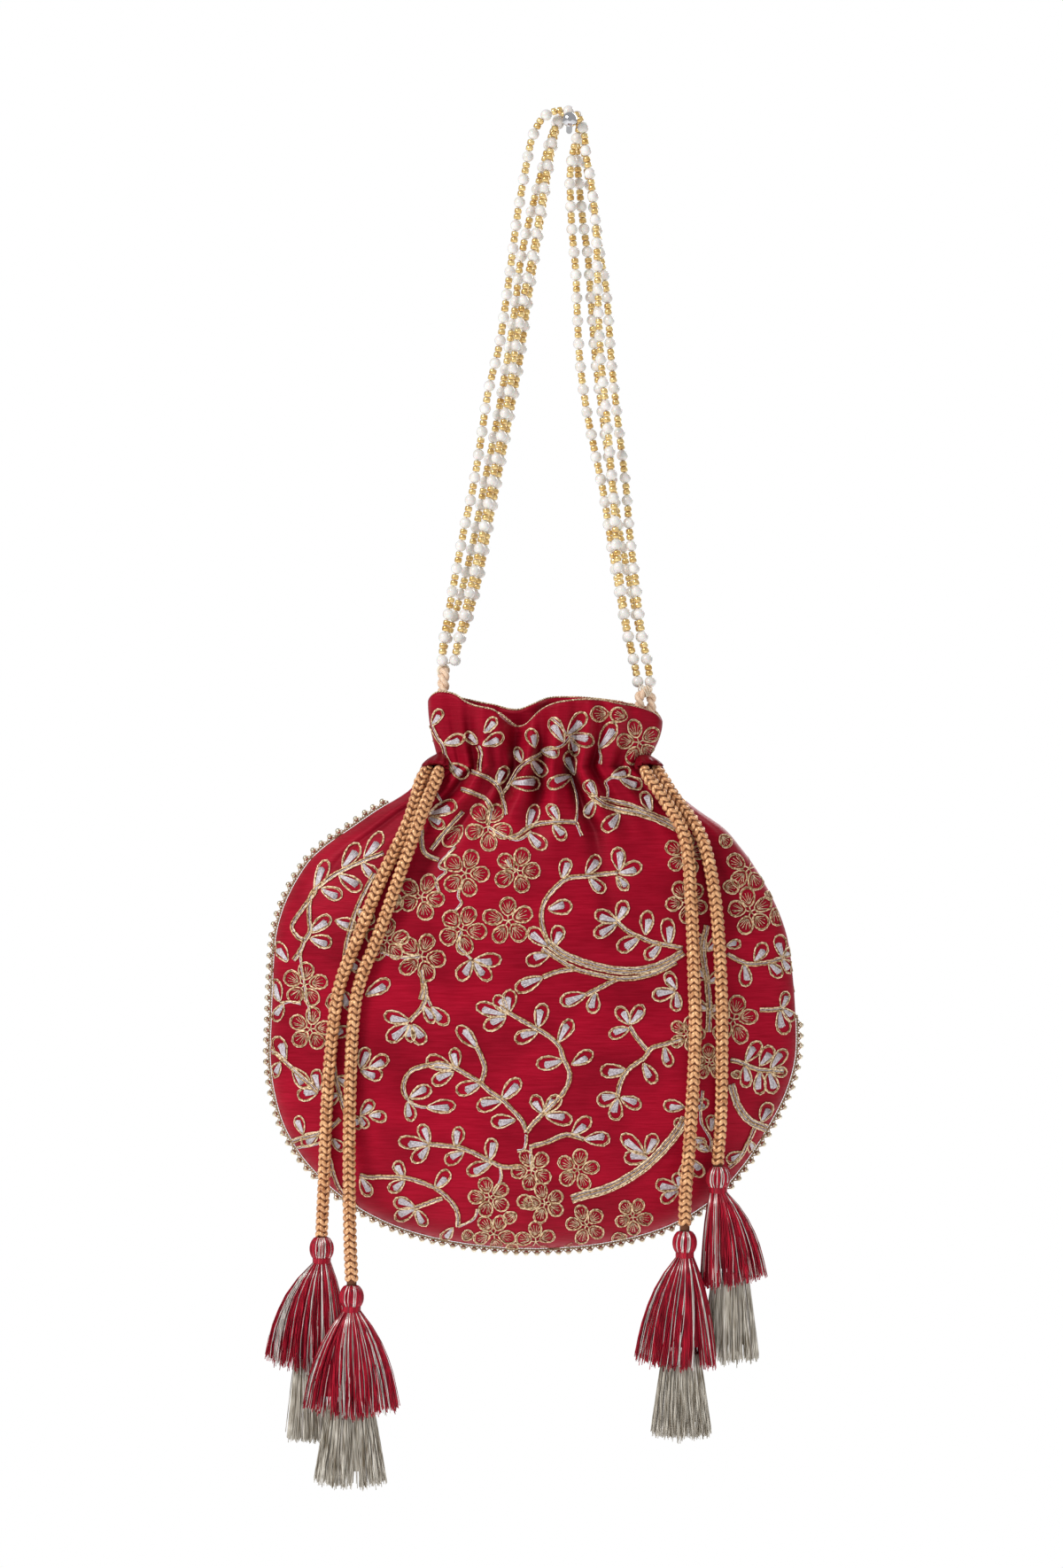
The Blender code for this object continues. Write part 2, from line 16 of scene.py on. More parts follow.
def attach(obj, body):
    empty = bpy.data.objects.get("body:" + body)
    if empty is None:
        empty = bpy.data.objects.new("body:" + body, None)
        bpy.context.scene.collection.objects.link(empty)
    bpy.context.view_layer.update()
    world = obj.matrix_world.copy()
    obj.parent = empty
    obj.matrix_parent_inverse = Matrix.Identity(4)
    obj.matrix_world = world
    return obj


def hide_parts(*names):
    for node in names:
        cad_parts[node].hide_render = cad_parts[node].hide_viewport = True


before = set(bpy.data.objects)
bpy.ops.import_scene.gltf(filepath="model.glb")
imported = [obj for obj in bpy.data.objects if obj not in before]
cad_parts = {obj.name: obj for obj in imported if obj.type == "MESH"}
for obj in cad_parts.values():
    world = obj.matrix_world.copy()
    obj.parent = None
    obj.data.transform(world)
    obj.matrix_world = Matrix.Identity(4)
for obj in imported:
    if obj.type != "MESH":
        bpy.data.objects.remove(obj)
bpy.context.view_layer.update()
MM = 0.001

# %% [markdown]
# The camera stands far off with a long lens, as a shop's photographer does, so that the bag shows
# almost without perspective. The picture is 1200 by 1770 steps, a step is 0.36 mm on the bag, and
# the pin is at one known step, so every place seen in the picture is a place on the real object.

# %% Camera
STEP = 0.36 * MM
PIN_STEP = (643, 139)
PICTURE_STEPS = (1200, 1770)
CAMERA_AWAY = 2.4
SENSOR_MM = 36.0


def place(step_x, step_y):
    """The x and z, in metres, of a place in the picture."""
    return (step_x - PIN_STEP[0]) * STEP, (PIN_STEP[1] - step_y) * STEP


middle_x, middle_z = place(PICTURE_STEPS[0] / 2, PICTURE_STEPS[1] / 2)
camera_data = bpy.data.cameras.new("camera")
camera_data.sensor_width = SENSOR_MM
camera_data.lens = SENSOR_MM * CAMERA_AWAY / (PICTURE_STEPS[1] * STEP)
camera = bpy.data.objects.new("camera", camera_data)
camera.location = (middle_x, -CAMERA_AWAY, middle_z)
camera.rotation_euler = (math.radians(90), 0, 0)
bpy.context.scene.collection.objects.link(camera)
bpy.context.scene.camera = camera
print("lens: %.0f mm" % camera_data.lens)

# %% [markdown]
# Thousands of threads, beads and stitches make up this bag, so the quickest way is plain arrays: a
# thread is a ring of points swept along a path, a bead is one small mesh copied to many places,
# and each kind of piece is gathered into one mesh. The helpers below do only that.

# %% Helpers for threads and beads
THREAD_UP = (0.0, 1.0, 0.0)
INSIDE_OUT = [0, 3, 2, 1]
CURVE_STEPS = 12


def unit(v):
    """Vectors made one long."""
    return v / np.maximum(np.linalg.norm(v, axis=-1, keepdims=True), 1e-12)


def angles(sides):
    """Evenly placed angles once round."""
    return np.arange(sides) * 2 * math.pi / sides


def ring_faces(rings, sides, first=0):
    """Quads that join each ring of points to the next. first is the number of the first point."""
    i = np.arange(sides)[None]
    j = (i + 1) % sides
    near = first + np.arange(rings - 1)[:, None] * sides
    return np.stack([near + i, near + j, near + sides + j, near + sides + i], -1).reshape(-1, 4)


def end_faces(rings, sides):
    """The two faces that close a tube of rings."""
    last = (rings - 1) * sides
    return [np.arange(sides)[None, ::-1], np.arange(last, last + sides)[None]]


def sweep(path, radius, sides=5, up=THREAD_UP, flat=1.0):
    """A thread along a path: its points and faces. flat squeezes it across its up direction."""
    path = np.asarray(path, float)
    along = unit(np.gradient(path, axis=0))
    side = unit(np.cross(along, np.broadcast_to(np.asarray(up, float), path.shape)))
    top = np.cross(side, along)
    angle = angles(sides)
    radius = np.broadcast_to(np.asarray(radius, float), (len(path),))[:, None, None]
    ring = side[:, None] * np.cos(angle)[None, :, None] + flat * top[:, None] * np.sin(angle)[None, :, None]
    points = (path[:, None] + radius * ring).reshape(-1, 3)
    return points, [ring_faces(len(path), sides), *end_faces(len(path), sides)]


def ball(rings, sides):
    """A ball of radius 1 with its poles along z."""
    points = [(0, 0, 1)]
    for k in range(1, rings):
        tilt = math.pi * k / rings
        for i in range(sides):
            turn = 2 * math.pi * i / sides
            points.append((math.sin(tilt) * math.cos(turn), math.sin(tilt) * math.sin(turn), math.cos(tilt)))
    points.append((0, 0, -1))
    i = np.arange(sides)
    j = (i + 1) % sides
    low = 1 + (rings - 2) * sides
    caps = [np.stack([0 * i, 1 + i, 1 + j], -1), np.stack([0 * i + len(points) - 1, low + j, low + i], -1)]
    return np.array(points, float), [ring_faces(rings - 1, sides, 1)[:, INSIDE_OUT], *caps]


def turned(shape, along):
    """A shape turned so that its z runs along a direction."""
    points, faces = shape
    z = unit(np.asarray(along, float))
    x = unit(np.cross((0.0, 1.0, 0.0) if abs(z[1]) < 0.9 else (1.0, 0.0, 0.0), z))
    y = np.cross(z, x)
    return points @ np.stack([x, y, z]), faces


def moved(shape, where, size):
    """A shape made larger and moved to a place."""
    points, faces = shape
    return points * size + np.asarray(where, float), faces


def gather(name, chunks, materials):
    """One object of many small shapes: each chunk is (shape, number of its material)."""
    points, loops, totals, slots = [], [], [], []
    base = 0
    for (shape_points, shape_faces), number in chunks:
        points.append(shape_points)
        for block in shape_faces:
            loops.append((block + base).ravel())
            totals.append(np.full(len(block), block.shape[1]))
            slots.append(np.full(len(block), number))
        base += len(shape_points)
    points, loops, totals = np.concatenate(points), np.concatenate(loops), np.concatenate(totals)
    mesh = bpy.data.meshes.new(name)
    mesh.vertices.add(len(points))
    mesh.vertices.foreach_set("co", points.astype(np.float32).ravel())
    mesh.loops.add(len(loops))
    mesh.loops.foreach_set("vertex_index", loops.astype(np.int32))
    mesh.polygons.add(len(totals))
    mesh.polygons.foreach_set("loop_start", np.concatenate([[0], np.cumsum(totals)[:-1]]).astype(np.int32))
    mesh.polygons.foreach_set("material_index", np.concatenate(slots).astype(np.int32))
    mesh.polygons.foreach_set("use_smooth", np.ones(len(totals), bool))
    mesh.update(calc_edges=True)
    for material in materials:
        mesh.materials.append(material)
    made = bpy.data.objects.new(name, mesh)
    bpy.context.scene.collection.objects.link(made)
    print(name, "has", int((totals - 2).sum()), "triangles")
    return made


def run_along(line):
    """How far along a line each of its points is."""
    return np.concatenate([[0], np.cumsum(np.linalg.norm(np.diff(line, axis=0), axis=1))])


def at_runs(at, run, values):
    """Values at distances along a line, between the values at its points."""
    return np.stack([np.interp(at, run, values[:, k]) for k in range(values.shape[1])], 1)


def curve(before, start, end, after, t):
    """The smooth curve from a start to an end, given the values beyond them."""
    bend = 2 * before - 5 * start + 4 * end - after + t * (3 * (start - end) + after - before)
    return start + 0.5 * t * (end - before + t * bend)


def smooth(route, step):
    """Evenly spaced points on a smooth curve through a route."""
    route = np.asarray(route, float)
    padded = np.concatenate([route[:1], route, route[-1:]])
    t = np.linspace(0, 1, CURVE_STEPS, endpoint=False)[:, None]
    spans = [curve(*four, t) for four in zip(padded, padded[1:], padded[2:], padded[3:])]
    line = np.concatenate([*spans, route[-1:]])
    run = run_along(line)
    at = np.linspace(0, run[-1], max(int(math.ceil(run[-1] / step)), 2) + 1)
    return at_runs(at, run, line)


def length_of(line):
    """How long a line of points is."""
    return float(np.linalg.norm(np.diff(line, axis=0), axis=1).sum())


# %% [markdown]
# Every finish here is made of nodes. A Principled shader gives the gloss, noise textures give
# the uneven dye and the slubs of hand-woven silk, and a bump node gives relief too fine to model.
# Small helpers make a shader, let its colour wander with a noise, and add a bump.

# %% Helpers for materials


def shader(name, colour, roughness, **sockets):
    """A material with one Principled shader, and its node tree and shader."""
    made = bpy.data.materials.new(name)
    made.use_nodes = True
    tree = made.node_tree
    principled = tree.nodes["Principled BSDF"]
    principled.inputs["Base Color"].default_value = (*colour, 1.0)
    principled.inputs["Roughness"].default_value = roughness
    for socket, value in sockets.items():
        principled.inputs[socket.replace("_", " ")].default_value = value
    return made, tree, principled


def noise(tree, stretch=(1, 1, 1), **values):
    """A noise texture in the object's own coordinates, stretched along its axes."""
    where = tree.nodes.new("ShaderNodeTexCoord")
    mapping = tree.nodes.new("ShaderNodeMapping")
    mapping.inputs["Scale"].default_value = stretch
    tree.links.new(where.outputs["Object"], mapping.inputs["Vector"])
    made = tree.nodes.new("ShaderNodeTexNoise")
    tree.links.new(mapping.outputs["Vector"], made.inputs["Vector"])
    for socket, value in values.items():
        made.inputs[socket].default_value = value
    return made.outputs["Fac"]


def ramp(tree, source, low, high, start=0.3, end=0.7):
    """Colours from low to high as a texture's value rises."""
    made = tree.nodes.new("ShaderNodeValToRGB")
    for stop, place_of, colour in zip(made.color_ramp.elements, (start, end), (low, high)):
        stop.position = place_of
        stop.color = (*colour, 1.0)
    tree.links.new(source, made.inputs["Fac"])
    return made.outputs["Color"]


def wander(tree, principled, source, low, high, start=0.3, end=0.7, socket="Base Color"):
    """A shader's colour, or other socket, that wanders from low to high with a texture."""
    tree.links.new(ramp(tree, source, low, high, start, end), principled.inputs[socket])


def add_bump(tree, principled, height, distance):
    """Relief from a height texture, in metres at its full value."""
    bump = tree.nodes.new("ShaderNodeBump")
    bump.inputs["Distance"].default_value = distance
    tree.links.new(height, bump.inputs["Height"])
    tree.links.new(bump.outputs["Normal"], principled.inputs["Normal"])


def dress(piece, record_slot, *nodes):
    """The piece rides on the one body and stands for its nodes, which it hides; record_slot is not used."""
    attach(piece, "root")
    if nodes:
        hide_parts(*nodes)
    return piece


# %% [markdown]
# The drawstrings are round braids about 6 mm thick, in peach-gold satin yarn. Each is drawn out
# of the neck into two legs that hang over the front of the bag. A braid could be a tube with a
# bump, but close up its stitches make the outline. The photograph shows chains of V stitches, so
# three columns of them run round each leg, two fat slanting arms to a V, over a dark middle tube
# that is painted shade: it makes the gaps between the stitches look dark.

# %% Drawstrings
CORD_DIAMETER = 6.0 * MM
CORD_ROUTES = {
    "left_outer": [
        (-56.5, -4.2, -261.4), (-60.1, -9.0, -267.0), (-62.2, -12.4, -274.5), (-66.2, -16.2, -286.4),
        (-76.3, -19.6, -307.4), (-85.0, -20.4, -329.4), (-92.6, -19.6, -349.0), (-95.6, -19.2, -368.0),
        (-97.9, -17.8, -395.6), (-99.4, -13.2, -428.8), (-100.4, -9.6, -449.0),
        (-100.4, -9.6, -452.0),
    ],
    "left_inner": [
        (-52.5, -9.6, -261.8), (-54.0, -12.6, -266.6), (-57.0, -16.0, -273.6), (-61.8, -21.4, -286.4),
        (-69.4, -22.0, -307.4), (-77.2, -21.8, -329.4), (-84.8, -21.4, -349.0), (-87.4, -20.9, -366.0),
        (-88.7, -20.6, -395.6), (-88.9, -21.4, -428.8), (-88.5, -22.7, -452.5), (-87.9, -23.0, -467.4),
        (-87.9, -23.0, -470.4),
    ],
    "right_inner": [
        (29.8, -9.4, -261.8), (32.6, -13.4, -267.2), (37.2, -16.2, -273.4), (46.4, -17.0, -290.2),
        (48.8, -20.1, -315.0), (50.0, -22.3, -347.8), (50.4, -22.4, -372.6), (48.2, -22.6, -412.2),
        (46.6, -22.7, -432.0), (46.2, -22.7, -445.6), (46.2, -22.7, -448.6),
    ],
    "right_outer": [
        (34.5, -3.6, -261.4), (38.2, -8.4, -267.2), (42.0, -10.6, -273.4), (53.2, -13.8, -290.2),
        (58.6, -17.9, -315.0), (60.9, -20.2, -347.8), (61.3, -20.3, -372.6), (61.0, -18.4, -402.0),
        (59.8, -16.6, -420.0), (59.8, -16.6, -423.0),
    ],
}
COLUMNS = 3
STITCH_PITCH = 2.7 * MM
STITCH_RISE = 2.5 * MM
STITCH_RADIUS = 0.86 * MM
STITCH_TAPER = (0.62, 0.94, 1.0, 0.98, 0.7)
STITCH_FLAT = 0.82
STITCH_DIP = 0.5 * MM
MIDDLE_SHARE = 0.66
CLOSED_SHARE = 0.4
CORD_LINE_STEP = 1.0 * MM
CORD_TWIST = 3.0
CORD_END = 4.0 * MM


def braid(line, phase):
    """Stitches of a braided cord along a line, two slanting arms to each V, and a dark middle of painted
    shade.
    """
    run = run_along(line)
    along = unit(np.gradient(line, axis=0))
    side = unit(np.cross(along, THREAD_UP))
    front = -np.cross(side, along)
    closing = np.clip(CLOSED_SHARE + run / CORD_END, CLOSED_SHARE, 1.0)
    pieces = [(sweep(line, MIDDLE_SHARE * CORD_DIAMETER / 2 * closing, sides=10), 1)]
    share = np.linspace(0, 1, len(STITCH_TAPER))
    away = CORD_DIAMETER / 2 - STITCH_RADIUS - STITCH_DIP * (1 - np.sin(math.pi * share))
    for row in range(int((run[-1] - STITCH_RISE) / STITCH_PITCH) + 1):
        at = row * STITCH_PITCH + STITCH_RISE * (1 - share)
        place_at, side_at, front_at = (at_runs(at, run, v) for v in (line, side, front))
        closing = np.clip(CLOSED_SHARE + at / CORD_END, CLOSED_SHARE, 1.0)
        for column in range(COLUMNS):
            for arm in (-1, 1):
                spine = phase + CORD_TWIST * at + 2 * math.pi * column / COLUMNS
                turn = spine + arm * (0.04 + 0.98 * share) * math.pi / COLUMNS
                out = side_at * np.sin(turn)[:, None] + front_at * np.cos(turn)[:, None]
                middle = place_at + out * (away * closing)[:, None]
                pieces.append((sweep(middle, STITCH_RADIUS * np.array(STITCH_TAPER), 7, out, STITCH_FLAT), 0))
    return pieces


braid_yarn, tree, principled = shader("braid_yarn", (0.68, 0.33, 0.12), 0.27, Metallic=0.2, Sheen_Weight=0.1,
                                      Coat_Weight=0.4, Coat_Roughness=0.14)
dye = noise(tree, Scale=420.0, Detail=2.0)
wander(tree, principled, dye, (0.47, 0.18, 0.055), (0.95, 0.54, 0.26))
add_bump(tree, principled, noise(tree, (1, 1, 0.25), Scale=3600.0, Detail=2.0), 0.05 * MM)
# The middle is near black: painted shade in the gaps between the stitches.
braid_shade_core, tree, principled = shader("braid_shade_core", (0.13, 0.04, 0.015), 0.9)
add_bump(tree, principled, noise(tree, Scale=1800.0), 0.05 * MM)

cords = {}
for leg, route in CORD_ROUTES.items():
    line = smooth(np.array(route) * MM, CORD_LINE_STEP)
    stitches = braid(line, 0.35 * len(cords))
    cord = gather("braided_drawstring_" + leg, stitches, [braid_yarn, braid_shade_core])
    dress(cord, "braid", "drawstring_" + leg)
    cords[leg] = (cord, line)
    print(leg, "leg is %.0f mm long" % (length_of(line) / MM))

# %% [markdown]
# The pouch is a bag of two silk panels seamed round their edge, gathered to a neck and open
# above it in a ruffle. Rings of points go round it from the mouth to the bottom. A short table
# gives the section at each height, another the height and depth of the mouth's edge, and pleats
# and creases are waves pressed into the rings, so the same tables can give a coarse or fine bag.

# %% The pouch's tables
NECK_Z = -261.4 * MM
BODY_X = -14.8 * MM
BODY_HALF_WIDTH = 106.7 * MM
BODY_HALF_DEPTH = 24.0 * MM
BODY_HEIGHT = 195.8 * MM
MOUTH_X = BODY_X + 4.9 * MM
MOUTH_HALF_WIDTH = 47.7 * MM
MOUTH_HALF_DEPTH = 19.0 * MM
RUFFLE_HEIGHT = 30.6 * MM
WALL = 1.6 * MM
PLEATS = 13
PLEAT_DEPTH = 1.3 * MM
PLEAT_REACH = 46.0 * MM
BODY_ROWS = np.array([
    # down, left, right, depth
    (0.000, 0.354, 0.422, 0.604), (0.018, 0.410, 0.465, 0.61), (0.055, 0.485, 0.545, 0.63),
    (0.092, 0.597, 0.631, 0.68), (0.129, 0.695, 0.728, 0.73), (0.165, 0.790, 0.785, 0.78),
    (0.202, 0.860, 0.836, 0.83), (0.276, 0.938, 0.914, 0.91), (0.349, 0.978, 0.965, 0.96),
    (0.432, 0.990, 0.988, 0.99), (0.533, 0.997, 1.000, 1.00), (0.607, 1.000, 0.996, 0.99),
    (0.680, 0.983, 0.958, 0.96), (0.754, 0.940, 0.887, 0.91), (0.827, 0.853, 0.800, 0.83),
    (0.901, 0.705, 0.675, 0.70), (0.956, 0.510, 0.500, 0.51), (0.989, 0.265, 0.265, 0.27),
    (1.000, 0.000, 0.000, 0.00),
])
MOUTH_ROWS = np.array([
    # rise, depth: from the left tip along the front to the right tip and back behind
    (0.86, 0.00), (0.93, 0.26), (0.98, 0.36), (0.95, 0.42), (0.80, 0.62), (0.73, 0.78), (0.52, 0.30),
    (0.78, 0.72), (0.86, 0.98), (0.87, 1.00), (0.82, 0.86), (0.78, 0.60), (0.72, 0.42), (0.65, 0.28),
    (0.60, 0.00), (0.69, -0.30), (0.77, -0.44), (0.81, -0.62), (0.86, -0.60), (0.90, -0.84),
    (0.92, -0.90), (0.90, -0.72), (0.75, -0.42), (0.81, -0.66), (0.87, -0.66), (0.92, -0.44),
    (0.94, -0.36), (0.91, -0.26),
])
CREASES = [
    # start, drift, depth, width, length
    (0.100, -0.030, 1.3, 0.016, 0.34), (0.190, -0.030, 1.5, 0.018, 0.42), (0.295, 0.012, 1.9, 0.016, 0.50),
    (0.390, 0.030, 1.4, 0.018, 0.38), (0.610, -0.020, 1.3, 0.018, 0.36), (0.740, 0.005, 1.7, 0.018, 0.46),
    (0.880, 0.025, 1.4, 0.018, 0.38),
]
CREASE_DEPTH = 1.9 * WALL
GATHERS = np.array([
    # turn, depth in mm, width in turns
    (0.138, 3.4, 0.011), (0.172, 1.8, 0.009), (0.208, 4.6, 0.012), (0.246, 5.2, 0.012), (0.274, 1.6, 0.008),
    (0.292, 4.2, 0.011), (0.330, 3.4, 0.010), (0.378, 2.2, 0.011), (0.570, 2.8, 0.012), (0.640, 3.4, 0.013),
    (0.700, 2.8, 0.012), (0.765, 3.8, 0.012), (0.830, 2.8, 0.012), (0.905, 2.0, 0.012),
])
GATHER_DEPTH = 2.3 * MM
GATHER_WIDTH = 1.12
GATHER_REACH = 40.0 * MM
# the fold depth at which the silk's painted shade is darkest
FOLD_FULL = 5.2 * MM

# %% The pouch's shape


def gathers(turn):
    """How deep the drawn-up folds press in at each turn, with the swell between them."""
    depth = np.zeros_like(turn)
    for where, deep, width in GATHERS:
        away = (turn - where) / (GATHER_WIDTH * width)
        depth += GATHER_DEPTH * deep * (np.exp(-away * away) - 0.32 * np.exp(-(away / 2.6) ** 2))
    return depth


def through(knots, values, at):
    """Values at places on smooth curves through the values at the knots."""
    span = np.clip(np.searchsorted(knots, at) - 1, 0, len(knots) - 2)
    low = np.maximum(np.arange(len(knots)) - 1, 0)
    high = np.minimum(np.arange(len(knots)) + 1, len(knots) - 1)
    slopes = (values[high] - values[low]) / (knots[high] - knots[low])
    step = knots[span + 1] - knots[span]
    t = (at - knots[span]) / step
    rise = (3 - 2 * t) * t * t
    return (values[span] + (values[span + 1] - values[span]) * rise
            + t * (1 - t) * step * (slopes[span] * (1 - t) - slopes[span + 1] * t))


def round_through(values, turn):
    """Values at turns on a smooth closed curve through evenly placed values."""
    at = (turn % 1.0) * len(values)
    i = at.astype(int)
    t = at - i
    return curve(*(values[(i + k) % len(values)] for k in (-1, 0, 1, 2)), t)


def ease(t):
    """A smooth step from 0 to 1."""
    t = np.clip(t, 0.0, 1.0)
    return t * t * (3 - 2 * t)


def body(turn, share):
    """Points on the outside of the body, for turns and shares of the way down its outline."""
    half = (BODY_ROWS[:, 1] + BODY_ROWS[:, 2]) / 2 * BODY_HALF_WIDTH
    steps = np.hypot(np.diff(half), np.diff(BODY_ROWS[:, 0]) * BODY_HEIGHT)
    knots = np.concatenate([[0], np.cumsum(steps), [steps.sum() + steps[-1]]])
    mirror = np.concatenate([BODY_ROWS, [BODY_ROWS[-2] * (1, -1, -1, -1)]])
    down, left, right, depth = (through(knots, mirror[:, k], share * steps.sum()) for k in range(4))
    fade = 1 - ease(down * BODY_HEIGHT / PLEAT_REACH)
    out = PLEAT_DEPTH * fade * np.cos(2 * math.pi * PLEATS * turn)
    out += small_folds(turn, down) - pressed(turn, down)
    angle = 2 * math.pi * turn
    x = BODY_X + (right - left) / 2 * BODY_HALF_WIDTH - (left + right) / 2 * BODY_HALF_WIDTH * np.cos(angle)
    return np.stack([x, -np.sin(angle) * (depth * BODY_HALF_DEPTH + out), NECK_Z - down * BODY_HEIGHT], -1)


def pressed(turn, down):
    """How deep the creases and the drawn-up folds press into the body."""
    depth = gathers(turn) * (1 - ease(down * BODY_HEIGHT / GATHER_REACH))
    for start, drift, deep, width, length in CREASES:
        away = (turn - start - drift * down / length) / width
        fold = 0.62 * np.exp(-away * away) + 0.48 * np.exp(-(away / 0.36) ** 2)
        fold -= 0.3 * np.exp(-(away / 2.4) ** 2)
        depth += CREASE_DEPTH * deep * fold * (1 - ease(down / length))
    return depth


def small_folds(turn, down):
    """The finer gathers and slack of the cloth, too small for the solid."""
    near = 1 - ease(down / 0.30)
    fine = 0.42 * np.cos(2 * math.pi * 29 * turn + 1.3 + 3.0 * down)
    fine = fine + 0.3 * np.cos(2 * math.pi * 41 * turn + 0.4)
    slack = 0.9 * np.sin(2 * math.pi * (3.0 * turn + 1.7 * down) + 0.6)
    slack = slack * np.sin(2 * math.pi * (5 * turn - 1.1 * down))
    return (fine * near + slack * ease(down / 0.2) * (1 - ease((down - 0.6) / 0.4))) * MM


def ruffle(turn, share):
    """Points on the outside of the ruffle, for turns and shares of the way up it."""
    neck = body(turn, np.zeros_like(turn))
    spread = np.sin(share * math.pi / 2)
    rise = round_through(MOUTH_ROWS[:, 0], turn) * RUFFLE_HEIGHT
    x = MOUTH_X - MOUTH_HALF_WIDTH * np.cos(2 * math.pi * turn)
    y = -round_through(MOUTH_ROWS[:, 1], turn) * MOUTH_HALF_DEPTH
    y = y + np.sin(2 * math.pi * turn) * gathers(turn) * (1.0 - 0.62 * share)
    return np.stack([neck[..., 0] + (x - neck[..., 0]) * spread,
                     neck[..., 1] + (y - neck[..., 1]) * ease(share), NECK_Z + rise * share], -1)


POUCH_AROUND = 304
RUFFLE_ROWS = 20
BODY_RINGS = 88


def pouch_shape():
    """The outside of the pouch as points and faces, and how deep in a fold each point is."""
    turn = np.arange(POUCH_AROUND) / POUCH_AROUND
    up = [ruffle(turn, np.full(POUCH_AROUND, 1 - k / RUFFLE_ROWS)) for k in range(RUFFLE_ROWS)]
    below = [body(turn, np.full(POUCH_AROUND, k / BODY_RINGS)) for k in range(BODY_RINGS)]
    bottom = body(np.zeros(1), np.ones(1))
    points = np.concatenate([*up, *below, bottom])
    rows = len(up) + len(below)
    i = np.arange(POUCH_AROUND)
    j = (i + 1) % POUCH_AROUND
    quads = ring_faces(rows, POUCH_AROUND)[:, INSIDE_OUT]
    folds = [gathers(turn) * (k / RUFFLE_ROWS) for k in range(RUFFLE_ROWS)]
    folds += [pressed(turn, np.full(POUCH_AROUND, 1.05 * k / BODY_RINGS)) for k in range(BODY_RINGS)]
    last = (rows - 1) * POUCH_AROUND
    fan = np.stack([last + i, 0 * i + len(points) - 1, last + j], -1)
    return (points, [quads, fan]), np.concatenate([*folds, [0.0]])


# %% [markdown]
# The silk is crimson with a soft satin shine. It was woven with uneven yarns, so thin slubs run
# across it, lighter and darker. Stretched noise makes them: long across the bag, short up it.
# Deep in a fold little light comes back, so the cloth's colour is painted darker there: painted
# shade, by how deep each point lies in a fold.

# %% Silk
silk, tree, principled = shader("crimson_silk", (0.34, 0.002, 0.014), 0.44, Specular_IOR_Level=0.30,
                                Specular_Tint=(1.0, 0.16, 0.22, 1.0))
slubs = noise(tree, (110, 110, 1700), Scale=1.0, Detail=4.0)
# Broad patches darken the colour: uneven tone, and a painted satin sheen where they are lighter.
tone_and_sheen_patches = noise(tree, (34, 34, 52), Scale=1.0, Detail=3.0)
# Each point's fold depth darkens the colour: painted shade in the folds.
fold = tree.nodes.new("ShaderNodeAttribute")
fold.attribute_name = "fold_painted_shade"
colour = ramp(tree, slubs, (0.29, 0.002, 0.014), (0.40, 0.006, 0.026), 0.3, 0.72)
for shade in (ramp(tree, tone_and_sheen_patches, (0.66, 0.60, 0.62), (1.0, 1.0, 1.0), 0.34, 0.64),
              ramp(tree, fold.outputs["Fac"], (1.0, 1.0, 1.0), (0.28, 0.22, 0.22), 0.0, 1.0)):
    darker = tree.nodes.new("ShaderNodeMix")
    darker.data_type = "RGBA"
    darker.blend_type = "MULTIPLY"
    darker.inputs["Factor"].default_value = 1.0
    tree.links.new(colour, darker.inputs["A"])
    tree.links.new(shade, darker.inputs["B"])
    colour = darker.outputs["Result"]
tree.links.new(colour, principled.inputs["Base Color"])
add_bump(tree, principled, noise(tree, (300, 300, 2600), Scale=1.0, Detail=2.0), 0.10 * MM)

# %% [markdown]
# The drawstrings leave the neck through two slits in its side seams. The cloth puckers into a
# short mouth round each pair of cords, so a small oval tube of the same silk is added there.

# %% Casing mouths
CASING_SIDES = 44
CASING_ROWS = 8
CASING_SHADE = 3.0 * MM
CASING_BACK = 7.0 * MM
CASING_OUT = 0.9 * MM
CASING_LONG_HALF = 6.9 * MM
CASING_SHORT_HALF = 3.9 * MM


def casing_mouth(side):
    """An oval puckered tube round the two cords of a side, from inside the neck outwards."""
    starts = [cords[side + leg][1] for leg in ("_outer", "_inner")]
    middle = (starts[0][0] + starts[1][0]) / 2
    way = unit(starts[0][3] - starts[0][0] + starts[1][3] - starts[1][0])
    wide = unit(starts[1][0] - starts[0][0])
    wide = unit(wide - way * (wide @ way))
    deep = np.cross(way, wide)
    angle = angles(CASING_SIDES)
    rings = []
    for share in np.linspace(0, 1, CASING_ROWS):
        pucker = 1 + 0.09 * share * np.cos(11 * angle + 0.8)
        open_to = (0.30 + 0.70 * math.sin(share * math.pi / 2)) * pucker
        ring = middle + way * (CASING_OUT * share - CASING_BACK * (1 - share))
        ring = ring + wide * (CASING_LONG_HALF * open_to * np.cos(angle))[:, None]
        rings.append(ring + deep * (CASING_SHORT_HALF * open_to * np.sin(angle))[:, None])
    return np.concatenate(rings), [ring_faces(CASING_ROWS, CASING_SIDES)]


# %% The pouch
outside, fold_depth = pouch_shape()
skin = BVHTree.FromPolygons([Vector(p) for p in outside[0]],
                            [tuple(face) for block in outside[1] for face in block.tolist()])
mouths = [(casing_mouth(side), 0) for side in ("left", "right")]
pouch = gather("silk_pouch", [(outside, 0), *mouths], [silk])
# The casing mouths get a set fold depth, so they take painted shade as well.
fold_depth = np.concatenate([fold_depth, np.full(2 * CASING_SIDES * CASING_ROWS, CASING_SHADE)])
fold_painted_shade = pouch.data.attributes.new("fold_painted_shade", "FLOAT", "POINT")
fold_painted_shade.data.foreach_set("value", np.clip(fold_depth / FOLD_FULL, 0, 1).astype(np.float32))
shell = pouch.modifiers.new("cloth", "SOLIDIFY")
shell.thickness = WALL
shell.offset = -1.0
dress(pouch, "silk", "pouch")

# %% [markdown]
# The handle is four strings of pearls with two gold seed beads between each pair, laid over the
# pin. Each string follows a smooth route through points read from the picture. The beads are
# copies of one ball and one short tube, threaded on it at their real pitch.

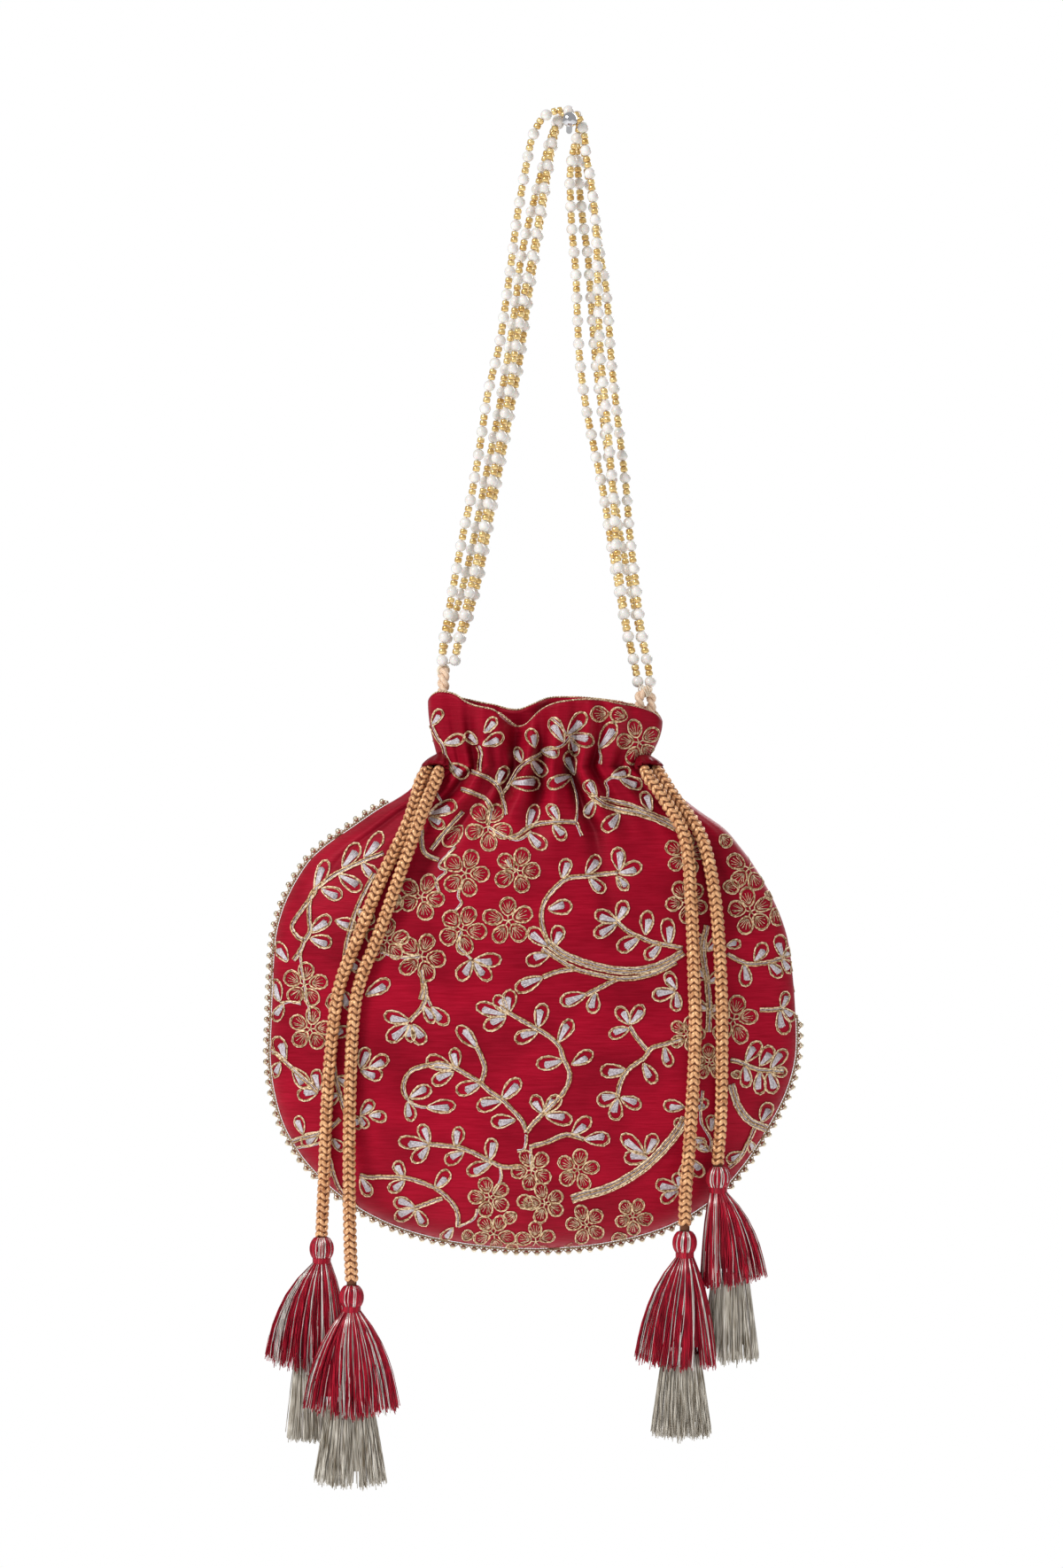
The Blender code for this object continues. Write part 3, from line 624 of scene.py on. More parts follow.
# %% Bead strings
STRAND_ROUTES = {
    1: [
        (-51.8, -2.5, -219.9), (-51.4, -2.6, -212.0), (-48.6, -3.1, -196.2), (-43.2, -3.8, -167.0),
        (-39.2, -4.3, -148.3), (-36.0, -4.7, -128.9), (-33.1, -5.2, -109.8), (-28.6, -5.6, -91.1),
        (-25.9, -6.0, -73.4), (-23.4, -6.5, -55.1), (-20.9, -7.0, -36.4), (-17.4, -7.4, -16.9),
        (-15.2, -7.5, -6.8), (-11.3, -7.5, 0.8), (-6.2, -7.5, 3.9), (0.0, -7.5, 3.9),
        (4.2, -7.5, 0.6), (6.0, -7.5, -6.0), (6.8, -7.5, -14.8), (8.6, -7.3, -23.8),
        (10.6, -7.0, -42.1), (11.3, -6.6, -61.9), (11.8, -6.3, -78.8), (12.8, -5.9, -97.6),
        (14.8, -5.5, -116.6), (16.4, -5.2, -135.7), (17.9, -5.0, -154.8), (19.1, -4.7, -173.5),
        (21.2, -4.2, -191.2), (23.6, -3.3, -207.0), (26.4, -2.7, -220.0), (28.0, -2.5, -228.6),
    ],
    2: [
        (-46.8, -2.5, -219.9), (-45.8, -2.5, -213.0), (-43.2, -2.5, -202.0), (-39.2, -2.5, -184.7),
        (-34.9, -2.5, -164.5), (-31.3, -2.5, -144.7), (-27.4, -2.5, -125.3), (-24.1, -2.5, -106.6),
        (-21.6, -2.5, -88.6), (-18.4, -2.5, -69.5), (-14.4, -2.5, -50.8), (-11.3, -2.5, -32.0),
        (-7.9, -2.5, -11.9), (-5.9, -2.5, -2.2), (-3.6, -2.5, 2.2), (0.0, -2.5, 3.9),
        (3.3, -2.5, 2.0), (3.7, -2.5, -3.0), (1.4, -2.5, -12.2), (0.2, -2.4, -21.6),
        (0.4, -2.3, -31.7), (1.0, -2.2, -44.0), (2.5, -2.0, -60.5), (3.2, -1.7, -79.6),
        (4.3, -1.2, -97.9), (6.8, -0.7, -115.9), (10.2, -0.3, -133.2), (13.8, 0.1, -150.5),
        (16.8, 0.6, -170.0), (20.0, 1.0, -189.0), (23.2, 1.9, -206.5), (26.4, 2.4, -220.0),
        (28.0, 2.5, -228.6),
    ],
    3: [
        (-51.8, 2.5, -219.9), (-51.0, 2.5, -213.0), (-47.3, 2.5, -202.0), (-42.3, 2.5, -184.0),
        (-37.6, 2.5, -162.4), (-33.5, 2.5, -140.8), (-29.2, 2.5, -119.2), (-25.6, 2.5, -97.6),
        (-22.2, 2.5, -75.2), (-19.8, 2.5, -55.1), (-15.5, 2.5, -35.6), (-11.6, 2.5, -20.5),
        (-8.8, 2.5, -10.0), (-6.4, 2.5, -2.5), (-3.8, 2.5, 2.2), (0.0, 2.5, 3.9),
        (3.4, 2.5, 1.6), (3.8, 2.5, -4.0), (3.0, 2.5, -11.0), (3.5, 2.6, -19.8),
        (4.3, 2.6, -29.2), (5.6, 2.6, -41.0), (7.6, 2.6, -55.0), (8.6, 2.7, -70.0),
        (10.4, 2.8, -94.0), (12.6, 3.1, -112.0), (15.0, 3.5, -130.0), (17.8, 3.7, -148.0),
        (20.6, 3.8, -167.0), (24.2, 3.6, -185.0), (28.0, 3.1, -204.0), (31.6, 2.7, -219.0),
        (33.0, 2.5, -228.6),
    ],
    4: [
        (-46.8, 2.5, -219.9), (-45.2, 2.7, -212.0), (-41.6, 3.1, -202.0), (-37.0, 3.4, -185.0),
        (-33.6, 4.0, -167.0), (-30.0, 4.6, -148.0), (-26.2, 5.2, -128.0), (-22.4, 5.7, -108.0),
        (-19.4, 6.3, -90.0), (-17.0, 7.0, -72.0), (-14.2, 7.6, -54.0), (-11.4, 7.8, -36.0),
        (-8.6, 7.6, -18.0), (-6.2, 7.5, -5.0), (-3.8, 7.5, 1.9), (0.0, 7.5, 3.9),
        (3.8, 7.5, 1.6), (5.4, 7.5, -5.0), (6.6, 7.5, -15.0), (8.6, 7.5, -26.0),
        (10.8, 7.6, -40.0), (12.8, 7.6, -54.0), (14.8, 7.2, -66.0), (15.9, 6.6, -78.0),
        (16.9, 5.8, -94.0), (18.7, 4.4, -112.0), (20.8, 2.2, -130.0), (23.0, 0.2, -148.3),
        (24.4, -1.3, -166.7), (26.6, -2.2, -184.7), (28.8, -2.4, -204.0), (31.6, -2.5, -219.0),
        (33.0, -2.5, -228.6),
    ],
}
PEARL_RADIUS = 2.3 * MM
SEED_RADIUS = 1.5 * MM
SEED_LONG = 2.2 * MM
SEED_SIDES = 12
SEED_PROFILE = (
    # radius, height
    (0.45, 0.62), (0.72, 0.72), (0.95, 0.52), (1.0, 0.0), (0.95, -0.52), (0.72, -0.72), (0.45, -0.62),
)
END_SHARE = 0.7
BEAD_GAP = 0.12 * MM
STRING_RADIUS = 0.25 * MM
STRING_STEP = 0.25 * MM
STRING_EVERY = 4

pearl, tree, principled = shader("pearl", (0.86, 0.83, 0.78), 0.22, Coat_Weight=0.5, Coat_Roughness=0.12,
                                 Subsurface_Weight=0.15, Subsurface_Scale=0.002)
wander(tree, principled, noise(tree, Scale=260.0, Detail=1.0), (0.70, 0.66, 0.61), (0.88, 0.86, 0.83))
seed_gold, tree, principled = shader("gold_seed_glass", (0.80, 0.46, 0.10), 0.12, Metallic=0.55,
                                     Coat_Weight=0.6, Coat_Roughness=0.05)
wander(tree, principled, noise(tree, Scale=420.0, Detail=1.0), (0.60, 0.33, 0.07), (0.98, 0.76, 0.34))
string_thread, tree, principled = shader("bead_thread", (0.80, 0.70, 0.55), 0.7)
add_bump(tree, principled, noise(tree, Scale=3000.0), 0.05 * MM)


def seed():
    """A seed bead of radius 1 along z: a short tube with rounded rims and a hole."""
    angle = angles(SEED_SIDES)
    rings = [np.stack([r * np.cos(angle), r * np.sin(angle), 0 * angle + z], -1) for r, z in SEED_PROFILE]
    points = np.concatenate(rings)
    return points, [ring_faces(len(rings) + 1, SEED_SIDES)[:, INSIDE_OUT] % len(points)]


def bead_string(route):
    """Pearls and seed beads threaded along a route."""
    line = smooth(np.array(route) * MM, STRING_STEP)
    along = run_along(line)
    heading = unit(np.gradient(line, axis=0))
    halves = (PEARL_RADIUS, SEED_LONG / 2, SEED_LONG / 2)
    group = 2 * sum(halves) + 3 * BEAD_GAP
    count = 3 * int(round((along[-1] - 2 * PEARL_RADIUS) / group)) + 1
    places_along = [PEARL_RADIUS]
    for k in range(1, count):
        places_along.append(places_along[-1] + halves[(k - 1) % 3] + BEAD_GAP + halves[k % 3])
    stretch = (along[-1] - 2 * END_SHARE * PEARL_RADIUS) / (places_along[-1] - PEARL_RADIUS)
    chunks = [(sweep(line[::STRING_EVERY], STRING_RADIUS, 5, (0.0, 1.0, 0.05)), 2)]
    one_pearl, one_seed = ball(rings=8, sides=12), seed()
    for k, natural in enumerate(places_along):
        at = END_SHARE * PEARL_RADIUS + (natural - PEARL_RADIUS) * stretch
        where = at_runs([at], along, line)[0]
        i = min(int(np.searchsorted(along, at)), len(heading) - 1)
        shape, size, number = (one_pearl, PEARL_RADIUS, 0) if k % 3 == 0 else (one_seed, SEED_RADIUS, 1)
        chunks.append((moved(turned(shape, heading[i]), where, size), number))
    return chunks, count


for number, route in STRAND_ROUTES.items():
    chunks, count = bead_string(route)
    string = gather("bead_string_%d" % number, chunks, [pearl, seed_gold, string_thread])
    dress(string, "pearl", "handle_strand_%d" % number)
    print("string", number, "has", count, "beads")

# %% [markdown]
# Two short loops of satin cord are sewn inside the tips of the ruffle. Each is two plies twisted
# together, which shows as slanting highlights, so two threads wind round each other along the
# loop's route. Every bead string's thread goes from its last pearl once round the loop.

# %% Handle loops
LOOP_CORD_DIAMETER = 4.0 * MM
LOOP_TURNS = {"left": (0.082, 0.918), "right": (0.410, 0.448)}
LOOP_FOOT = 0.60
LOOP_GAP = 0.3 * MM
PLY_TWIST = 7.5 * MM
TIE_PLACES = {1: -3, 2: -1, 3: 3, 4: 1}
TURN_BESIDE = 0.004
ARCH_STEPS = 8
TIE_POINTS = 13
LOOP_LINE_STEP = 0.5 * MM
PLY_FULL = 1.08

satin, tree, principled = shader("peach_satin", (0.86, 0.62, 0.42), 0.36, Sheen_Weight=0.3)
fibres = noise(tree, (1, 1, 0.3), Scale=3000.0, Detail=2.0)
wander(tree, principled, fibres, (0.72, 0.44, 0.26), (0.95, 0.76, 0.58))
add_bump(tree, principled, fibres, 0.15 * MM)


def inside(turn, share, away):
    """A point inside the ruffle, a level distance from its outside."""
    here, after, before = ruffle(np.array([turn, turn + TURN_BESIDE, turn - TURN_BESIDE]), np.full(3, share))
    along = after - before
    inward = unit(np.array([-along[1], along[0], 0.0]))
    if inward @ (np.array([MOUTH_X, 0.0, here[2]]) - here) < 0:
        inward = -inward
    return here + inward * away


def loop_line(side):
    """The middle of a loop: up inside the ruffle, over, and down again."""
    string_end = np.array(STRAND_ROUTES[1][0 if side == "left" else -1]) * MM
    crown = string_end[2] - LOOP_GAP - LOOP_CORD_DIAMETER / 2
    away = WALL + LOOP_GAP + LOOP_CORD_DIAMETER / 2
    legs = [[inside(turn, share, away) for share in (LOOP_FOOT, (1 + LOOP_FOOT) / 2, 1.0)]
            for turn in LOOP_TURNS[side]]
    middle = (legs[0][-1] + legs[1][-1]) / 2
    half = (legs[1][-1] - legs[0][-1]) / 2
    half[2] = 0
    reach = np.linalg.norm(half)
    arch = [middle - half * math.cos(math.pi * k / ARCH_STEPS) for k in range(ARCH_STEPS + 1)]
    for k, point in enumerate(arch):
        point[2] = crown - reach * (1 - math.sin(math.pi * k / ARCH_STEPS))
    return smooth(legs[0] + arch + legs[1][::-1], LOOP_LINE_STEP)


def twisted(line, diameter, pitch, sides=8):
    """Two plies wound round each other along a line."""
    along = unit(np.gradient(line, axis=0))
    side = unit(np.cross(along, (0.31, 0.94, 0.12)))
    front = np.cross(side, along)
    run = np.linspace(0, length_of(line), len(line))
    radius = diameter / 4
    shapes = []
    for start in (0, 0.5):
        angle = 2 * math.pi * (run / pitch + start)
        out = side * np.cos(angle)[:, None] + front * np.sin(angle)[:, None]
        shapes.append(sweep(line + out * radius, radius * PLY_FULL, sides, out))
    return shapes


def tie(side, line, number):
    """The thread of a bead string, from its last pearl once round the loop."""
    last = 0 if side == "left" else -1
    end = np.array(STRAND_ROUTES[number][last]) * MM
    at = int(np.argmax(line[:, 2])) + TIE_PLACES[number]
    along = unit(line[at + 1] - line[at - 1])
    across = unit(np.cross(along, (0.0, 0.0, 1.0)))
    up = np.cross(across, along)
    turn = np.linspace(0, 2 * math.pi, TIE_POINTS)[:, None]
    ring = line[at] + (across * np.sin(turn) + up * np.cos(turn)) * (LOOP_CORD_DIAMETER / 2 + STRING_RADIUS)
    start = end + np.array([0, 0, 0.5 * PEARL_RADIUS])
    return sweep(smooth(np.concatenate([[start], ring]), LOOP_LINE_STEP), STRING_RADIUS, 5, along)


for side in LOOP_TURNS:
    line = loop_line(side)
    chunks = [(ply, 0) for ply in twisted(line, LOOP_CORD_DIAMETER, PLY_TWIST)]
    chunks += [(tie(side, line, number), 1) for number in TIE_PLACES]
    loop = gather("satin_loop_" + side, chunks, [satin, string_thread])
    dress(loop, "satin_cord", "handle_loop_" + side)

# %% [markdown]
# A trim is sewn round the seam: small metal balls, each in a loop of fine thread, on a narrow
# twisted edging. The seam is where the turns 0 and 0.5 of the pouch's rings lie, so the trim's
# line comes from the same function as the cloth, moved out by half its width.

# %% Ball trim
TRIM_DIAMETER = 3.0 * MM
TRIM_GAP = 0.3 * MM
TRIM_LEFT_START = 0.085
TRIM_RIGHT_END = 0.44
SEAM_LOW = 0.998
SEAM_POINTS = 60
SEAM_STEP = 0.4 * MM
BALL_RADIUS = 1.18 * MM
BALL_PITCH = 4.3 * MM
EDGING_RADIUS = 0.204 * MM
EDGING_IN = 1.15 * MM
EDGING_DIAMETER = 1.1 * MM
EDGING_TWIST = 2.2 * MM
BOW_POINTS = 9
BOW_RISE = 1.55 * MM

trim_metal, tree, principled = shader("antique_metal", (0.46, 0.38, 0.27), 0.24, Metallic=0.95)
wander(tree, principled, noise(tree, Scale=700.0, Detail=3.0), (0.46, 0.38, 0.27), (0.92, 0.84, 0.68))
edging, tree, principled = shader("edging_thread", (0.62, 0.50, 0.34), 0.5, Metallic=0.2)
wander(tree, principled, noise(tree, Scale=1500.0, Detail=1.0), (0.48, 0.33, 0.18), (0.86, 0.70, 0.48))


def outward_of(line):
    """The directions along a line in the bag's plane, and out from the bag."""
    along = unit(np.gradient(line, axis=0))
    return along, unit(np.stack([along[:, 2], 0 * along[:, 0], -along[:, 0]], -1))


def seam_line():
    """The line of the trim, from the left shoulder under the pouch to the right one."""
    left = body(np.zeros(SEAM_POINTS), np.linspace(TRIM_LEFT_START, SEAM_LOW, SEAM_POINTS))
    right = body(np.full(SEAM_POINTS, 0.5), np.linspace(SEAM_LOW, TRIM_RIGHT_END, SEAM_POINTS))
    line = np.concatenate([left, right])
    return smooth(line + outward_of(line)[1] * (TRIM_DIAMETER / 2 + TRIM_GAP), SEAM_STEP)


def ball_trim():
    """The balls, their thread loops and the twisted edging."""
    line = seam_line()
    along, outward = outward_of(line)
    plies = twisted(line - outward * EDGING_IN, EDGING_DIAMETER, EDGING_TWIST, sides=5)
    chunks = [(ply, 1) for ply in plies]
    one_ball = ball(rings=6, sides=10)
    step = length_of(line) / (len(line) - 1)
    per_ball = BALL_PITCH / step
    count = int((len(line) - 1) / per_ball)
    for k in range(count):
        i = int((k + 0.5) * per_ball)
        middle = line[i] + outward[i] * 0.2 * MM
        chunks.append((moved(turned(one_ball, along[i]), middle, BALL_RADIUS), 0))
        share = np.linspace(-0.5, 0.5, BOW_POINTS)[:, None]
        bow = np.cos(share * math.pi) * BOW_RISE
        ring = line[i] - outward[i] * MM + along[i] * share * BALL_PITCH * 1.02 + outward[i] * bow
        for lift in (-1.05 * MM, 1.05 * MM):
            chunks.append((sweep(ring + np.array([0, lift, 0]), EDGING_RADIUS, sides=3), 1))
    print("trim of", count, "balls on %.0f mm of seam" % (length_of(line) / MM))
    return chunks


dress(gather("ball_trim", ball_trim(), [trim_metal, edging]), "metal_balls", "edge_trim")

# %% [markdown]
# A cord of two fine gold threads covers the raw edge of the mouth. It follows the top of the
# ruffle all the way round.

# %% Mouth piping
RIM_POINTS = 420
RIM_LIFT = 0.25 * MM
RIM_STEP = 0.45 * MM
PIPING_DIAMETER = 1.0 * MM
PIPING_TWIST = 2.4 * MM

gold_thread, tree, principled = shader("gold_thread", (0.60, 0.40, 0.20), 0.38, Metallic=0.45)
# This noise gives the thread's uneven tone and its bump, and its bright spots are painted glints.
glint = noise(tree, Scale=1100.0, Detail=1.5)
wander(tree, principled, glint, (0.36, 0.20, 0.085), (1.0, 0.82, 0.56), 0.34, 0.62)
add_bump(tree, principled, glint, 0.08 * MM)

rim = np.array([inside(turn, 1.0, WALL / 2) for turn in np.linspace(0, 1, RIM_POINTS)])
rim[:, 2] += RIM_LIFT
plies = twisted(smooth(rim, RIM_STEP), PIPING_DIAMETER, PIPING_TWIST, sides=5)
piping = gather("mouth_piping", [(ply, 0) for ply in plies], [gold_thread])
dress(piping, "braid")

# %% [markdown]
# The tassels have two tiers. A bundle of red and silver threads is folded over the cord's end
# and bound into a head; below the binding it fans out, and a second bundle of taupe threads
# hangs inside it. Hair would do for the threads, but plain swept threads export as they are. A
# plain form in the threads' colour stands under them so that no gap shows light.

# %% Tassels
TASSELS = {
    # left, right, down, aside, half width, length
    "left_outer": (24.0, 11.0, 44.3, -5.6, 7.8, 27.0),
    "left_inner": (19.6, 18.9, 41.8, -0.5, 13.6, 28.6),
    "right_inner": (20.4, 12.6, 44.2, -1.4, 11.2, 28.2),
    "right_outer": (7.0, 19.6, 37.4, 5.0, 10.6, 30.4),
}
UPPER_SPREAD = np.array([(0.0, 0.0), (0.14, 0.26), (0.36, 0.56), (0.68, 0.84), (1.0, 1.0)])
LOWER_SPREAD = np.array([(0.0, 0.66), (0.35, 0.82), (0.75, 0.98), (1.0, 1.08)])
TASSEL_HEAD_RADIUS = 5.0 * MM
TASSEL_HEAD_TALL = 1.1
TASSEL_HEAD_TOP = math.radians(38)
TASSEL_HEAD_END = math.radians(138)
TASSEL_NECK_RADIUS = 3.4 * MM
TASSEL_NECK_HEIGHT = 1.5 * MM
TASSEL_HALF_DEPTH = 5.6 * MM
LOWER_HALF_DEPTH = 3.5 * MM
TASSEL_GAP = 0.3 * MM
UPPER_THREADS = 640
LOWER_THREADS = 460
THREAD_RADIUS = 0.24 * MM
THREAD_POINTS = 7
LOCKS = 9
UPPER_SILVER_OVER = 0.74
LOWER_SILVER_OVER = 1.05
HEAD_SILVER_OVER = 0.86
CORE_SIDES = 28
CORE_ROWS = 8
CORE_END = 0.82
CORE_SHARE = 0.66
HEAD_CORE_DOWN = 4.3 * MM
HEAD_CORE_RADIUS = 4.1 * MM
HEAD_THREADS = 84
HEAD_POINTS = 9
HEAD_RISE = 0.2 * MM
HEAD_THREAD_RADIUS = 0.3 * MM
BINDING_RADIUS = TASSEL_NECK_RADIUS + 0.05 * MM
BINDING_TURNS = 7
BINDING_PAST = 0.4 * MM
BINDING_THREAD_RADIUS = 0.32 * MM
BINDING_POINTS = 140
TIER_OVERLAP = 5 * MM


def thread_material(name, low, high, roughness, metallic):
    """A finish for tassel threads, lighter and darker from thread to thread."""
    made, tree, principled = shader(name, high, roughness, Metallic=metallic, Specular_IOR_Level=0.22)
    tone = noise(tree, (1600, 1600, 80), Scale=1.0, Detail=2.0)
    wander(tree, principled, tone, low, high, 0.35, 0.65)
    return made


red_thread = thread_material("red_tassel_thread", (0.18, 0.002, 0.012), (0.52, 0.008, 0.032), 0.4, 0.0)
silver_thread = thread_material("silver_tassel_thread", (0.46, 0.41, 0.37), (0.92, 0.88, 0.84), 0.3, 0.4)
taupe_thread = thread_material("taupe_tassel_thread", (0.20, 0.16, 0.11), (0.80, 0.75, 0.66), 0.36, 0.25)


def fan(reaches, first, wide, turn):
    """How far a tuft reaches, sideways and in depth, at turns round it."""
    left, right, depth = reaches
    reach = np.where(np.cos(turn) > 0, right, left)
    return (first + (reach - first) * wide) * np.cos(turn), (first + (depth - first) * wide) * np.sin(turn)


def around(top, x, y, down):
    """Points beside and below a tuft's top."""
    return np.stack([top[0] + x, top[1] + y, top[2] - down + 0 * x], -1)


def core(top, drop, reaches, spread, first):
    """A plain form just under the threads."""
    rows = np.linspace(0, CORE_END, CORE_ROWS)
    angle = angles(CORE_SIDES)
    rings = []
    for share, wide in zip(rows, through(spread[:, 0], spread[:, 1], rows)):
        x, y = fan(reaches, first, wide, angle)
        rings.append(around(top, x * CORE_SHARE, y * CORE_SHARE, drop * share))
    faces = [ring_faces(CORE_ROWS, CORE_SIDES)[:, INSIDE_OUT], *end_faces(CORE_ROWS, CORE_SIDES)]
    return np.concatenate(rings), faces


def tier(rng, top, drop, reaches, spread, first, count, silver_over):
    """Threads hanging from a level ring, fanning out by a table of spreads."""
    left, right, depth = reaches
    chunks = [(core(top, drop, reaches, spread, first), 0)]
    locks = rng.uniform(0, 2 * math.pi, LOCKS)
    share = np.linspace(0, 1, THREAD_POINTS)
    wide = through(spread[:, 0], spread[:, 1], share)
    for k in range(count):
        angle = rng.uniform(0, 2 * math.pi)
        layer = 1.0 - 0.42 * rng.random() ** 2
        stray = 1.0 + (0.10 * rng.random() if rng.random() < 0.06 else 0.0)
        lean = math.cos(angle) * (right if math.cos(angle) > 0 else left) / drop
        long = drop * (1.0 + rng.normal(0, 0.028)) * (1 - 0.45 * lean * lean)
        near = locks[np.argmin(np.abs(np.angle(np.exp(1j * (locks - angle)))))]
        pull = 0.15 * share * np.angle(np.exp(1j * (near - angle)))
        sway = 0.035 * np.sin(share * rng.uniform(3, 8) + rng.uniform(0, 6)) * share
        x, y = fan(reaches, first, wide, angle + pull + sway)
        path = around(top, x * layer * stray, y * layer * stray, long * share)
        lock = 0.48 + 0.20 * math.sin(7 * angle + 1.3) + 0.22 * math.sin(16 * angle + 0.5)
        lock += 0.26 * math.sin(41 * angle + 2.1) + 0.17 * rng.normal()
        thread = sweep(path, THREAD_RADIUS * np.linspace(1.0, 0.8, THREAD_POINTS), sides=3)
        chunks.append((thread, int(lock > silver_over)))
    return chunks


def tassel_head(rng, top):
    """The bound head: threads from the cord's end over a ball to the neck, then the binding."""
    chunks = [(moved(ball(rings=10, sides=20), top - np.array([0, 0, HEAD_CORE_DOWN]), HEAD_CORE_RADIUS), 0)]
    tilt = np.linspace(TASSEL_HEAD_TOP * 0.72, TASSEL_HEAD_END, HEAD_POINTS)
    fall = TASSEL_HEAD_RADIUS * TASSEL_HEAD_TALL * (math.cos(TASSEL_HEAD_TOP) - np.cos(tilt))
    radius = TASSEL_HEAD_RADIUS * np.sin(tilt) * 0.94
    for k in range(HEAD_THREADS):
        turn = 2 * math.pi * (k + rng.uniform(-0.3, 0.3)) / HEAD_THREADS
        turn = turn + 0.05 * np.sin(tilt * rng.uniform(1, 3))
        path = around(top, radius * np.cos(turn), radius * np.sin(turn), np.maximum(fall, -HEAD_RISE))
        lock = 0.5 + 0.32 * math.sin(3 * turn[0] + 0.4) + 0.42 * rng.normal()
        chunks.append((sweep(path, HEAD_THREAD_RADIUS, sides=4), int(lock > HEAD_SILVER_OVER)))
    neck = top[2] - fall[-1]
    turn = np.linspace(0, 2 * math.pi * BINDING_TURNS, BINDING_POINTS)
    down = np.linspace(0, TASSEL_NECK_HEIGHT + 2 * BINDING_PAST, BINDING_POINTS)
    wound = around((top[0], top[1], neck + BINDING_PAST), BINDING_RADIUS * np.cos(turn),
                   BINDING_RADIUS * np.sin(turn), down)
    chunks.append((sweep(wound, BINDING_THREAD_RADIUS, 5, (0, 0, 1)), 0))
    return chunks, neck - TASSEL_NECK_HEIGHT


for number, (leg, sizes) in enumerate(TASSELS.items()):
    left, right, length, aside, lower_half, lower_length = (v * MM for v in sizes)
    rng = np.random.default_rng(70 + number)
    top = np.array(CORD_ROUTES[leg][-1]) * MM - np.array([0, 0, TASSEL_GAP])
    chunks, neck = tassel_head(rng, top)
    chunks += tier(rng, (top[0], top[1], neck), length, (left, right, TASSEL_HALF_DEPTH), UPPER_SPREAD,
                   TASSEL_NECK_RADIUS, UPPER_THREADS, UPPER_SILVER_OVER)
    upper = gather("tassel_threads_" + leg, chunks, [red_thread, silver_thread])
    dress(upper, "tassel_red", "tassel_" + leg)
    start = (top[0] + aside, top[1], neck - length + TIER_OVERLAP)
    chunks = tier(rng, start, lower_length + TIER_OVERLAP, (lower_half, lower_half, LOWER_HALF_DEPTH),
                  LOWER_SPREAD, 0.0, LOWER_THREADS, LOWER_SILVER_OVER)
    lower = gather("tassel_lower_threads_" + leg, chunks, [taupe_thread, silver_thread])
    dress(lower, "tassel_taupe", "tassel_skirt_" + leg)
